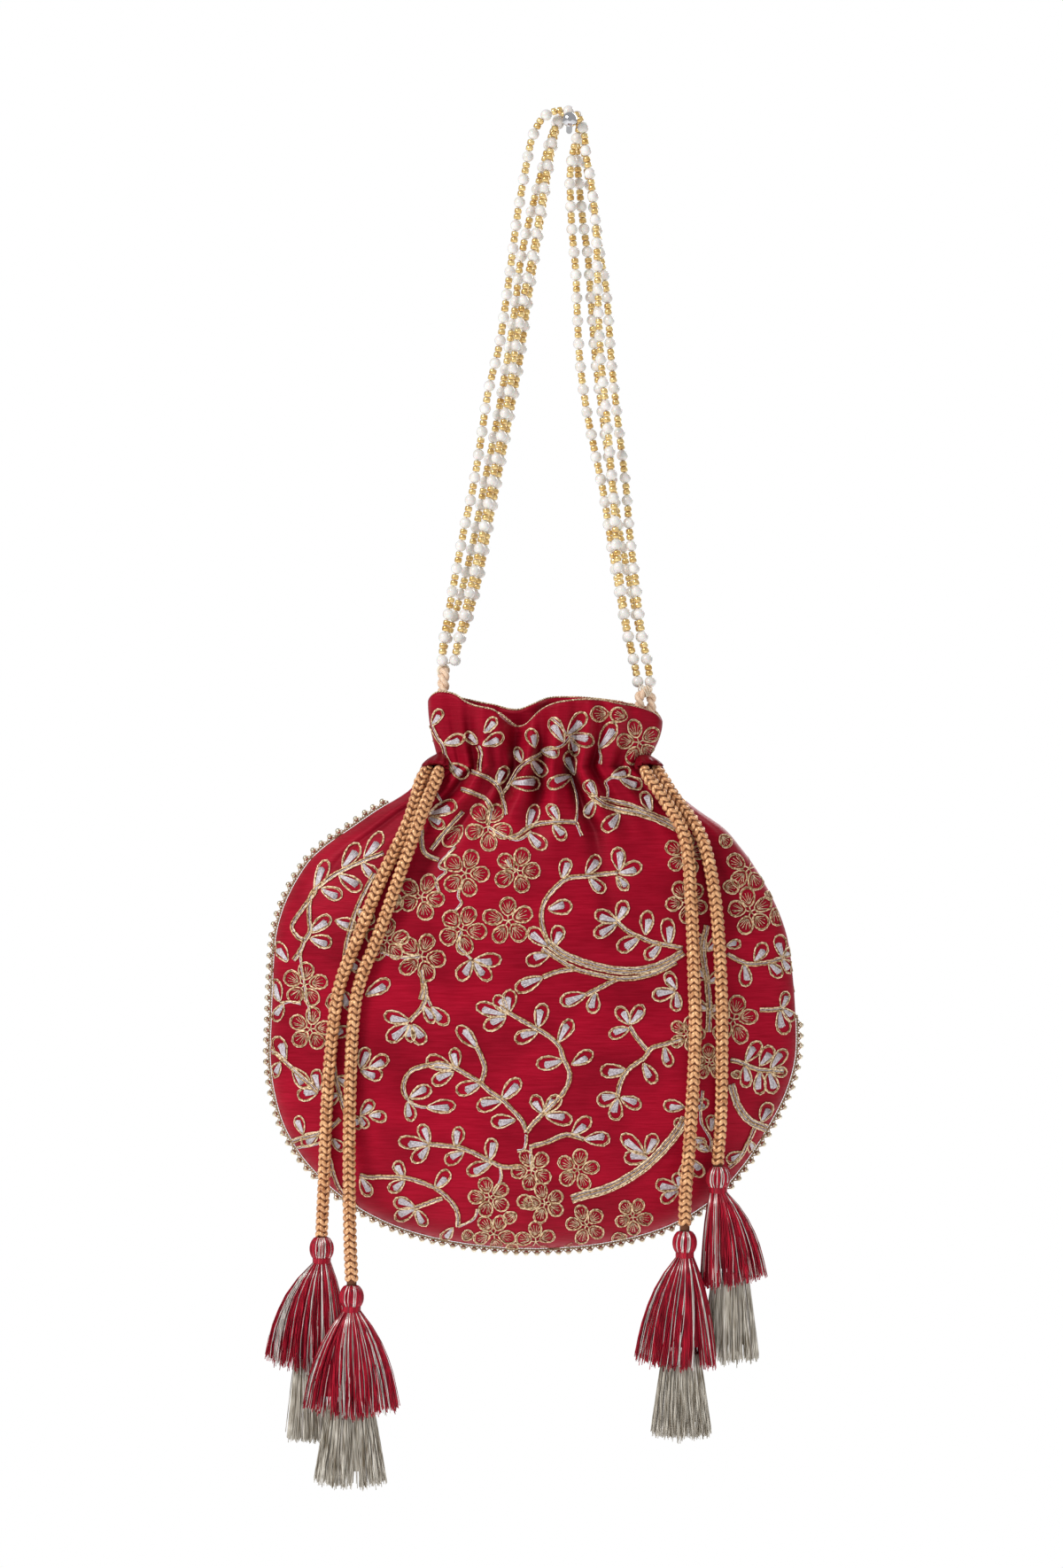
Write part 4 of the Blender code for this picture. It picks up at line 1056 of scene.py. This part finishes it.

# %% [markdown]
# The embroidery is couched: metal thread is laid on the silk and tied down. Each leaf is a loop
# of doubled gold thread, filled on one side with lilac-white satin stitches; each flower has
# five gold petals with fanned stitches; stems are pairs of gold lines with a pale line between.
# The tables hold where the stems, leaves and flowers lie, read in five enlarged windows of the
# picture; what lies under the cords is a guess. Each leaf has its base and tip. Everything else
# is worked out, and each thread is laid on the cloth by casting a ray at it. The back can't be
# seen, so it carries the same pattern, mirrored.

# %% The embroidery's chart
WINDOWS = {
    # left, top, enlargement of the part of the picture that each part of the chart was read in
    "ruffle": (460, 740, 4.9),
    "left_shoulder": (280, 830, 4.9),
    "right_shoulder": (560, 830, 4.356),
    "lower_left": (280, 1100, 4.356),
    "lower_right": (560, 1100, 4.356),
    "under_cords": (0, 0, 1.0),
}
STEMS = {
    # width in threads, then the places along it
    "ruffle": [
        (3, (135, 385), (165, 450), (200, 500), (212, 550), (235, 600), (250, 640)),
        (3, (395, 500), (410, 540), (405, 590), (400, 640)),
        (3, (360, 645), (430, 670), (490, 710), (520, 770)),
        (3, (300, 740), (380, 765), (440, 800), (470, 860)),
        (3, (520, 770), (540, 830), (545, 880)),
        (3, (520, 770), (570, 710), (610, 640), (660, 590), (740, 540)),
        (2, (1060, 520), (1070, 560), (1062, 600)),
        (3, (560, 1010), (610, 990), (660, 955), (730, 930), (830, 918), (930, 922)),
        (2, (930, 922), (935, 800), (905, 680)),
        (2, (930, 922), (960, 995)),
        (4, (1010, 765), (1080, 825), (1180, 855), (1300, 880), (1400, 920), (1480, 960)),
        (3, (1060, 790), (1140, 805), (1240, 830), (1340, 875), (1475, 925)),
        (2, (1100, 790), (1108, 740), (1095, 700), (1130, 675), (1170, 680)),
        (2, (880, 445), (850, 400), (800, 350)),
        (2, (895, 450), (850, 500), (760, 525)),
        (2, (130, 880), (160, 830), (190, 815), (160, 760)),
    ],
    "left_shoulder": [
        (3, (755, 650), (650, 690), (560, 730), (470, 780), (380, 850), (350, 900), (345, 1000), (350, 1080),
         (320, 1130), (300, 1180), (260, 1240)),
        (3, (380, 860), (300, 970), (250, 1050), (280, 1110), (320, 1130)),
        (2, (300, 1180), (300, 1250), (320, 1370)),
        (2, (185, 1480), (240, 1470), (300, 1480)),
        (2, (320, 1375), (330, 1440), (345, 1500), (350, 1568)),
        (2, (1150, 615), (1060, 715), (1100, 750), (1050, 800), (1060, 860)),
        (2, (1190, 800), (1165, 880), (1185, 920), (1150, 965)),
        (3, (965, 1290), (975, 1390), (960, 1450)),
        (2, (1185, 1080), (1170, 1150), (1210, 1200), (1240, 1235)),
        (2, (740, 1190), (840, 1220), (960, 1212)),
        (3, (1190, 420), (1100, 520), (1015, 630)),
        (3, (965, 520), (975, 640), (1060, 690)),
        (2, (1330, 505), (1430, 560), (1500, 575), (1568, 530)),
        (2, (1330, 505), (1340, 430), (1320, 360)),
    ],
    "right_shoulder": [
        (3, (595, 672), (520, 680), (430, 690), (350, 700), (290, 745), (240, 810), (222, 880), (235, 960),
         (262, 1020)),
        (5, (262, 1020), (330, 1070), (430, 1110), (530, 1138), (620, 1150), (720, 1145), (820, 1115),
         (915, 1060)),
        (3, (225, 1040), (300, 1090), (390, 1140), (480, 1165), (590, 1187), (700, 1182), (800, 1152),
         (880, 1108)),
        (3, (390, 1140), (310, 1150), (230, 1180)),
        (3, (590, 1190), (510, 1230), (440, 1265)),
        (3, (590, 910), (640, 955), (700, 985), (760, 1010), (830, 1025), (910, 1040)),
        (2, (590, 690), (610, 740)),
        (3, (650, 1420), (690, 1480), (740, 1540)),
        (3, (1130, 1070), (1180, 1100), (1240, 1120), (1320, 1115), (1400, 1095)),
        (3, (1290, 1345), (1350, 1345), (1400, 1340)),
        (4, (1030, 930), (1010, 1050), (1030, 1200), (1040, 1330), (1035, 1450)),
        (2, (100, 660), (70, 640), (50, 610)),
    ],
    "lower_left": [
        (3, (1370, 760), (1345, 700), (1300, 650), (1250, 600), (1190, 560), (1140, 515), (1080, 480),
         (1030, 450), (960, 425), (880, 435), (810, 460), (775, 510), (770, 560), (790, 600)),
        (3, (1150, 515), (1167, 450), (1150, 390), (1125, 340)),
        (2, (790, 600), (830, 630), (880, 640)),
        (3, (1345, 925), (1260, 930), (1200, 905), (1110, 860), (1040, 835), (960, 825), (895, 820)),
        (3, (1035, 1230), (1030, 1150), (990, 1090), (930, 1040), (850, 1005), (770, 985), (680, 983),
         (600, 985), (555, 975)),
        (3, (960, 1085), (890, 1110), (825, 1135)),
        (3, (100, 370), (150, 390), (195, 430), (240, 470), (320, 540), (350, 570)),
        (3, (220, 820), (260, 800), (350, 775), (410, 745), (460, 700)),
        (2, (230, 850), (330, 830), (400, 800)),
        (3, (870, 30), (880, 90), (860, 150), (800, 220)),
        (2, (880, 90), (905, 145)),
        (2, (1370, 770), (1360, 840), (1325, 850)),
        (2, (1390, 830), (1390, 900), (1395, 940)),
        (2, (1240, 930), (1245, 990), (1205, 1060)),
        (2, (1035, 1230), (1110, 1190), (1130, 1140)),
    ],
    "lower_right": [
        (3, (150, 760), (180, 720), (235, 665), (310, 590), (350, 530), (360, 470), (330, 400), (310, 340),
         (270, 300), (210, 260), (130, 215), (70, 180), (20, 145)),
        (3, (165, 832), (250, 808), (345, 772), (430, 795)),
        (3, (910, 305), (830, 330), (760, 350), (720, 400), (650, 450), (610, 510), (592, 590)),
        (6, (370, 1090), (430, 1070), (540, 1040), (640, 990), (740, 920), (830, 830), (900, 740),
         (925, 690)),
        (5, (1150, 530), (1180, 630), (1240, 710), (1340, 760)),
        (3, (1270, 740), (1230, 830), (1190, 900), (1140, 940)),
        (3, (1145, 410), (1200, 425), (1280, 460), (1350, 468), (1410, 472)),
        (2, (1010, 560), (1000, 700), (1050, 800), (1045, 860)),
    ],
    "under_cords": [
        (3, (424, 985), (404, 1026), (392, 1070), (388, 1116)),
        (3, (376, 1160), (380, 1211), (392, 1256)),
        (3, (370, 1290), (382, 1336), (404, 1362)),
        (3, (786, 1236), (776, 1270), (778, 1306)),
    ],
}
LEAVES = {
    # base, tip
    "ruffle": [
        (140, 385, 188, 298), (205, 490, 318, 450), (392, 490, 318, 428), (425, 430, 490, 345),
        (420, 497, 532, 440), (235, 600, 338, 672), (500, 715, 545, 612), (570, 705, 735, 712),
        (702, 512, 678, 405), (860, 480, 798, 345), (880, 440, 985, 320), (890, 445, 1030, 482),
        (895, 450, 937, 555), (740, 525, 837, 542), (925, 655, 880, 530), (905, 665, 775, 725),
        (680, 575, 772, 662), (635, 590, 600, 508), (1125, 668, 1232, 632), (1170, 680, 1298, 722),
        (1040, 780, 983, 690), (1030, 800, 988, 897), (1170, 875, 1080, 967), (1345, 860, 1298, 755),
        (665, 960, 715, 823), (835, 912, 780, 823), (805, 932, 867, 1017), (665, 980, 767, 1065),
        (1060, 520, 1142, 370),
    ],
    "left_shoulder": [
        (650, 680, 748, 535), (530, 732, 617, 597), (375, 862, 442, 688), (635, 703, 722, 792),
        (508, 768, 632, 852), (410, 850, 527, 890), (352, 1085, 462, 997), (490, 1020, 607, 1052),
        (350, 1120, 472, 1147), (225, 1250, 158, 1143), (180, 1470, 145, 1348), (1008, 440, 1157, 375),
        (1005, 455, 1087, 507), (1242, 1235, 1168, 1342), (1250, 1238, 1402, 1232), (1250, 1242, 1347, 1342),
        (658, 1430, 792, 1347),
    ],
    "right_shoulder": [
        (325, 700, 347, 603), (440, 682, 502, 588), (455, 700, 532, 767), (605, 665, 593, 548),
        (600, 675, 712, 636), (590, 690, 642, 757), (255, 850, 372, 832), (252, 1030, 163, 943),
        (285, 1030, 312, 928), (262, 1070, 148, 1108), (592, 910, 483, 868), (590, 922, 478, 977),
        (595, 905, 632, 808), (702, 985, 593, 1047), (730, 975, 742, 857), (805, 1020, 728, 1092),
        (845, 1027, 835, 893), (230, 1180, 96, 1242), (440, 1265, 313, 1302), (485, 1255, 468, 1357),
        (205, 1425, 236, 1308), (205, 1445, 93, 1487), (305, 1495, 372, 1388), (880, 1242, 833, 1158),
        (875, 1250, 763, 1277), (880, 1255, 880, 1348), (650, 1410, 592, 1326), (655, 1410, 717, 1318),
        (650, 1430, 553, 1467), (1125, 1030, 1197, 1018), (1215, 1120, 1222, 1230), (1265, 1110, 1320, 1018),
        (1405, 1090, 1385, 978), (1405, 1085, 1464, 1048), (1335, 1115, 1397, 1187), (1400, 1097, 1460, 1165),
        (1400, 1340, 1425, 1258), (1405, 1342, 1462, 1400), (1387, 1350, 1420, 1467),
    ],
    "lower_left": [
        (180, 140, 133, 228), (190, 420, 140, 303), (165, 428, 118, 502), (225, 455, 302, 547),
        (355, 560, 340, 458), (350, 572, 248, 590), (275, 777, 248, 688), (355, 770, 268, 830),
        (420, 798, 477, 852), (560, 452, 592, 348), (600, 450, 694, 393), (560, 462, 667, 490),
        (560, 680, 622, 608), (600, 680, 687, 690), (555, 682, 592, 742), (800, 220, 676, 188),
        (800, 235, 688, 312), (800, 237, 806, 320), (815, 235, 867, 332), (870, 147, 917, 227),
        (905, 150, 987, 232), (1270, 190, 1123, 140), (1275, 182, 1218, 93), (1280, 180, 1292, 63),
        (1270, 200, 1163, 252), (1545, 410, 1418, 430), (1130, 347, 1033, 243), (1010, 450, 883, 400),
        (1030, 445, 1018, 348), (1015, 467, 910, 522), (1150, 522, 1026, 562), (1250, 600, 1337, 498),
        (1250, 607, 1126, 637), (1315, 700, 1196, 710), (1450, 670, 1400, 578), (1457, 665, 1532, 583),
        (1460, 677, 1592, 703), (800, 592, 905, 543), (880, 640, 1024, 628), (790, 612, 812, 707),
        (895, 820, 853, 723), (895, 822, 743, 805), (895, 830, 813, 907), (1025, 832, 1045, 733),
        (1065, 855, 973, 912), (1190, 897, 1202, 788), (1200, 907, 1080, 962), (770, 987, 733, 903),
        (775, 1000, 696, 1052), (925, 1037, 992, 948), (560, 985, 602, 1082), (825, 1130, 720, 1103),
        (825, 1140, 726, 1193), (830, 1145, 877, 1227), (1010, 1235, 953, 1302),
    ],
    "lower_right": [
        (370, 430, 473, 368), (370, 775, 462, 688), (430, 795, 557, 790), (820, 345, 850, 442),
        (720, 425, 777, 522), (635, 460, 508, 460), (600, 580, 493, 612), (595, 595, 578, 702),
        (610, 590, 707, 637), (920, 640, 818, 628), (725, 872, 613, 773), (735, 870, 777, 768),
        (745, 890, 626, 885), (890, 1040, 780, 1013), (890, 1050, 808, 1107), (895, 1035, 880, 963),
        (1220, 420, 1292, 323), (1290, 442, 1352, 348), (1345, 455, 1422, 368), (1215, 440, 1225, 547),
        (1290, 470, 1290, 584), (1335, 470, 1358, 580), (1350, 472, 1427, 475), (1300, 720, 1342, 623),
        (1240, 810, 1268, 882), (1215, 870, 1128, 907), (1040, 860, 988, 820), (1052, 760, 1050, 678),
    ],
    "under_cords": [
        (404, 1026, 424, 1040), (391, 1080, 411, 1094), (388, 1116, 372, 1136), (388, 1116, 398, 1138),
        (377, 1170, 395, 1158), (381, 1214, 401, 1222), (385, 1232, 366, 1246), (392, 1256, 410, 1270),
        (376, 1318, 358, 1330), (388, 1345, 392, 1366), (797, 1072, 781, 1054), (797, 1072, 814, 1056),
        (797, 1104, 779, 1092), (797, 1108, 815, 1096), (797, 1138, 780, 1128), (797, 1142, 815, 1134),
        (782, 1250, 798, 1240), (777, 1272, 760, 1262), (777, 1284, 796, 1290), (778, 1306, 768, 1326),
        (778, 1306, 792, 1326),
    ],
}
FLOWERS = {
    # centre, turn in degrees, size
    "ruffle": [(1275, 480, -13, 0.92)],
    "left_shoulder": [
        (1330, 505, 180, 1.0), (1205, 760, 165, 1.0), (965, 890, 168, 0.95), (1490, 745, 165, 0.95),
        (1185, 1070, 170, 1.0), (1440, 1020, -6, 1.0), (965, 1215, 20, 1.0), (775, 1130, 0, 0.9),
        (320, 1375, 8, 0.95),
    ],
    "right_shoulder": [
        (1240, 655, 10, 0.95), (1245, 865, -12, 0.95), (1160, 1390, 10, 1.0), (925, 586, 12, 0.86),
        (933, 815, 40, 0.86),
    ],
    "lower_left": [(315, 262, 10, 0.92), (1190, 1080, -15, 0.86), (1210, 1265, 30, 0.88)],
    "lower_right": [
        (175, 945, -25, 0.86), (400, 945, 10, 0.86), (240, 1110, -18, 0.84), (195, 1305, -5, 0.86),
        (440, 1220, -15, 0.84), (670, 1180, 30, 0.78),
    ],
    "under_cords": [(774, 1165, 15, 0.72), (799, 1197, 0, 0.72)],
}
PETALS = {
    # base, tip of petals that stand alone
    "ruffle": [(1212, 345, 1118, 318), (1112, 322, 1008, 328)],
    "left_shoulder": [(1190, 500, 1085, 610), (860, 900, 790, 960), (850, 930, 800, 880)],
    "right_shoulder": [
        (1108, 740, 1192, 746), (1100, 490, 1147, 548), (1360, 850, 1397, 932), (1320, 770, 1358, 802),
    ],
    "lower_left": [(1400, 1130, 1330, 1080), (1060, 1300, 1100, 1250)],
    "lower_right": [
        (320, 1330, 412, 1357), (540, 1330, 488, 1347), (640, 1280, 568, 1302), (1148, 480, 1197, 486),
        (50, 1330, 110, 1345), (100, 1160, 40, 1200),
    ],
}

# %% Embroidery stitches
PETAL_LONG = 22.5
PETAL_WIDE = 18.5
PETAL_START = 5.5
LEAF_WIDE = 0.60
LEAF_WIDTHS = (11.5, 16.0)
LEAF_STITCHES = 6
PETAL_SPOKES = 6
FLOWER_PETALS = 5
STEM_SPACING = 1.75
GOLD_RADIUS = 0.28 * MM
FILL_RADIUS = 0.30 * MM
SPOKE_RADIUS = 0.15 * MM
CHART_STEP = 3.0
LOBE_POINTS = 13
THREAD_FLAT = 0.8
LONGEST_JUMP = 6 * MM
RAY_FROM = 0.2
# the places of the three threads among the embroidery's materials
GOLD, PALE, PETAL_GOLD = 0, 1, 2
GATHERED_TO = 950
GATHERED_STEP = 2.1
BODY_STEP = PIN_STEP[0] + BODY_X / STEP

fill_thread, tree, principled = shader("pale_satin_thread", (0.66, 0.60, 0.64), 0.35, Sheen_Weight=0.2)
wander(tree, principled, noise(tree, Scale=1400.0, Detail=1.0), (0.44, 0.37, 0.41), (0.82, 0.77, 0.80))
petal_thread, tree, principled = shader("petal_gold_thread", (0.50, 0.32, 0.13), 0.36, Metallic=0.4)
wrap = noise(tree, Scale=1100.0, Detail=1.5)
wander(tree, principled, wrap, (0.22, 0.11, 0.04), (0.80, 0.56, 0.30), 0.36, 0.64)


def on_picture(window, x, y):
    """A place read in a window, in picture steps."""
    left, top, enlargement = WINDOWS[window]
    return np.array([left + x / enlargement, top + y / enlargement])


def laid(places, lift, back):
    """Places of the chart laid on the cloth: points and the cloth's directions out, where it is hit."""
    points, outs = [], []
    way = -1.0 if back else 1.0
    for step_x, step_y in places:
        x, z = place(2 * BODY_STEP - step_x if back else step_x, step_y)
        hit, out, face, far = skin.ray_cast(Vector((x, -RAY_FROM * way, z)), Vector((0, way, 0)))
        if hit is None:
            continue
        out = out if out.y * way < 0 else -out
        points.append(hit + out * lift)
        outs.append(out)
    return np.array(points), np.array(outs)


def stitch(places, radius, number, back, lift, sides=4):
    """One thread along places of the chart, or nothing where it leaves the cloth."""
    if places[:, 1].mean() < GATHERED_TO:
        run = run_along(places)
        at = np.linspace(0, run[-1], max(len(places), int(run[-1] / GATHERED_STEP) + 1))
        places = at_runs(at, run, places)
    points, outs = laid(places, radius * lift, back)
    if len(points) < max(2, 0.6 * len(places)):
        return []
    if len(points) > 2 and np.abs(np.diff(points[:, 1])).max() > LONGEST_JUMP:
        return []
    return [(sweep(points, radius, sides, outs, THREAD_FLAT), number)]


def across_of(heading):
    """The direction across a heading."""
    return np.array([-heading[1], heading[0]])


def beside(line, away):
    """A line of the chart moved sideways."""
    along = unit(np.gradient(line, axis=0))
    return line + np.stack([-along[:, 1], along[:, 0]], -1) * away


def lobe(base, heading, long, wide, shape):
    """A leaf's or petal's outline from its base and back to it, widest towards its tip."""
    t = np.linspace(0, 1, LOBE_POINTS)
    s = 0.5 - 0.5 * np.cos(2 * math.pi * t)
    side = np.where(t < 0.5, 1, -1) * np.sin(math.pi * np.clip(s, 0, 1) ** shape) ** 0.44 * wide / 2
    return base + heading * (s * long)[:, None] + across_of(heading) * side[:, None]


def leaf(rng, base, tip, back):
    """A couched leaf: doubled gold outline, and satin stitches on one side of it."""
    long = np.linalg.norm(tip - base)
    heading = (tip - base) / long
    wide = np.clip(LEAF_WIDE * long, *LEAF_WIDTHS) * rng.uniform(0.92, 1.08)
    outer = lobe(base, heading, long, wide, 1.5) + rng.normal(0, 0.28, (LOBE_POINTS, 2))
    inner = lobe(base + heading, heading, long - 2.3, wide - 2.4, 1.5) + rng.normal(0, 0.22, (LOBE_POINTS, 2))
    chunks = stitch(outer, GOLD_RADIUS, GOLD, back, 1.1)
    chunks += stitch(inner, GOLD_RADIUS * 0.8, PETAL_GOLD, back, 1.0)
    across = across_of(heading) * rng.choice((-1, 1))
    reach = rng.uniform(0.66, 0.82)
    for k in range(LEAF_STITCHES):
        share = k / (LEAF_STITCHES - 1)
        start = base + heading * (0.02 + 0.02 * k) * long + across * (share - 0.4) * 0.14 * wide
        end = base + heading * (reach - 0.10 * abs(share - 0.5)) * long
        end = end + across * (share - 0.18) * 0.44 * wide
        line = np.linspace(start, end, 4) + rng.normal(0, 0.14, (4, 2))
        chunks += stitch(line, FILL_RADIUS, PALE, back, 0.7, 3)
    return chunks


def petal(rng, base, heading, long, wide, back):
    """A petal: a doubled gold loop, with fanned stitches inside it."""
    chunks = []
    for inset, number in ((0.0, GOLD), (2.1, PETAL_GOLD)):
        outline = lobe(base + heading * inset / 3, heading, long - inset, wide - inset, 1.25)
        outline = outline + rng.normal(0, 0.24, (LOBE_POINTS, 2))
        chunks += stitch(outline, GOLD_RADIUS * 0.85, number, back, 1.1)
    across = across_of(heading)
    foot = base + heading * long * 0.16
    for spoke in np.linspace(-1, 1, PETAL_SPOKES):
        lean = spoke * 0.78 + rng.normal(0, 0.05)
        reach = long * (0.60 - 0.10 * spoke * spoke) * rng.uniform(0.92, 1.04)
        tip = foot + (heading * math.cos(lean) + across * math.sin(lean)) * reach
        chunks += stitch(np.linspace(foot + across * spoke * 0.9, tip, 3), SPOKE_RADIUS, GOLD, back, 0.9, 3)
    return chunks


def flower(rng, centre, turn, size, back):
    """Five petals round a centre."""
    chunks = []
    for k in range(FLOWER_PETALS):
        angle = math.radians(turn + 360 / FLOWER_PETALS * k + rng.normal(0, 3))
        heading = np.array([math.sin(angle), -math.cos(angle)])
        start = heading * PETAL_START * size
        long = PETAL_LONG * size * rng.uniform(0.93, 1.07)
        wide = PETAL_WIDE * size * rng.uniform(0.93, 1.07)
        chunks += petal(rng, centre + start, heading, long, wide, back)
        chunks += stitch(np.linspace(centre, centre + start * 1.2, 3), GOLD_RADIUS, GOLD, back, 1.2)
    return chunks


def stem(rng, threads, line, back):
    """Gold lines on both sides of a stem and pale ones between."""
    chunks = []
    wide = STEM_SPACING * (threads - 1)
    for k in range(threads):
        away = (k / (threads - 1) - 0.5) * wide
        run = beside(line, away) + rng.normal(0, 0.2, line.shape)
        if k % 2 == 1 and (k < threads - 1 or threads == 2):
            chunks += stitch(run, FILL_RADIUS * 0.8, PALE, back, 0.6)
        else:
            chunks += stitch(run, GOLD_RADIUS * 1.3, PETAL_GOLD if k % 4 == 2 else GOLD, back, 1.1)
    return chunks


def embroidery(back):
    """All the stitches of one side of the bag."""
    rng = np.random.default_rng(31 + back)
    chunks = []
    for window in WINDOWS:
        for threads, *places in STEMS[window]:
            line = smooth([on_picture(window, *spot) for spot in places], CHART_STEP)
            chunks += stem(rng, threads, line, back)
        for row in LEAVES[window]:
            chunks += leaf(rng, on_picture(window, *row[:2]), on_picture(window, *row[2:]), back)
        for x, y, turn, size in FLOWERS[window]:
            chunks += flower(rng, on_picture(window, x, y), turn, size, back)
        for row in PETALS.get(window, ()):
            base, tip = on_picture(window, *row[:2]), on_picture(window, *row[2:])
            long = np.linalg.norm(tip - base)
            chunks += petal(rng, base, (tip - base) / long, long, min(0.85 * long, PETAL_WIDE), back)
    return chunks


for name, back in (("embroidery_front", False), ("embroidery_back", True)):
    dress(gather(name, embroidery(back), [gold_thread, fill_thread, petal_thread]), "silk")

# %% [markdown]
# The pin has the right shape in the frame already, so it only gets a better finish: polished
# chrome with the faint haze of handling.

# %% Pin
chrome, tree, principled = shader("pin_chrome", (0.58, 0.58, 0.60), 0.08, Metallic=1.0)
wander(tree, principled, noise(tree, Scale=300.0, Detail=2.0), (0.06, 0.06, 0.06), (0.16, 0.16, 0.16),
       socket="Roughness")
for slot in bpy.data.objects["hang_pin"].material_slots:
    slot.material = chrome

# %% [markdown]
# The studio is plain: a pale floor under the bag, a bright white room all round it, which is the
# world's own light, one soft lamp from the upper left that gives the folds their shade, and a
# weaker one behind the bag. Nothing else stands there, so it can be looked at from every side.

# %% Studio
FLOOR_Z = -1.0
FLOOR_HALF = 2.4
FLOOR_LINES = 5
LAMPS_AIM = (0, 0, -0.3)
LAMPS = (
    # name, place, size, watts
    ("soft_lamp", (-1.1, -1.05, 0.75), 0.6, 20.0), ("back_lamp", (0.9, 1.3, 0.5), 0.9, 11.0),
)


def floor_grid():
    """A wide level floor of a few faces."""
    steps = np.linspace(-FLOOR_HALF, FLOOR_HALF, FLOOR_LINES)
    points = np.array([(x, y, FLOOR_Z) for y in steps for x in steps])
    squares = range(FLOOR_LINES - 1)
    corners = np.array([row * FLOOR_LINES + column for row in squares for column in squares])
    return points, [corners[:, None] + np.array([0, 1, FLOOR_LINES + 1, FLOOR_LINES])]


paper, tree, principled = shader("studio_paper", (0.93, 0.93, 0.93), 0.9, Specular_IOR_Level=0.1,
                                 Emission_Color=(1.0, 1.0, 1.0, 1.0), Emission_Strength=0.5)
wander(tree, principled, noise(tree, Scale=40.0), (0.93, 0.93, 0.93), (0.95, 0.95, 0.95))
studio_floor = gather("studio_floor", [(floor_grid(), 0)], [paper])

for name, place_of, size, watts in LAMPS:
    lamp = bpy.data.lights.new(name, "AREA")
    lamp.size = size
    lamp.energy = watts
    hung = bpy.data.objects.new(name, lamp)
    hung.location = place_of
    hung.rotation_euler = (Vector(LAMPS_AIM) - hung.location).to_track_quat("-Z", "Y").to_euler()
    bpy.context.scene.collection.objects.link(hung)
room = bpy.data.worlds.new("white_room")
room.use_nodes = True
tree = room.node_tree
background = tree.nodes["Background"]
background.inputs["Color"].default_value = (1.0, 1.0, 1.0, 1.0)
ray = tree.nodes.new("ShaderNodeLightPath")
strength = tree.nodes.new("ShaderNodeMapRange")
strength.inputs["To Min"].default_value = 0.5
strength.inputs["To Max"].default_value = 1.0
tree.links.new(ray.outputs["Is Camera Ray"], strength.inputs["Value"])
tree.links.new(strength.outputs["Result"], background.inputs["Strength"])
bpy.context.scene.world = room
bpy.context.scene.view_settings.view_transform = "Standard"
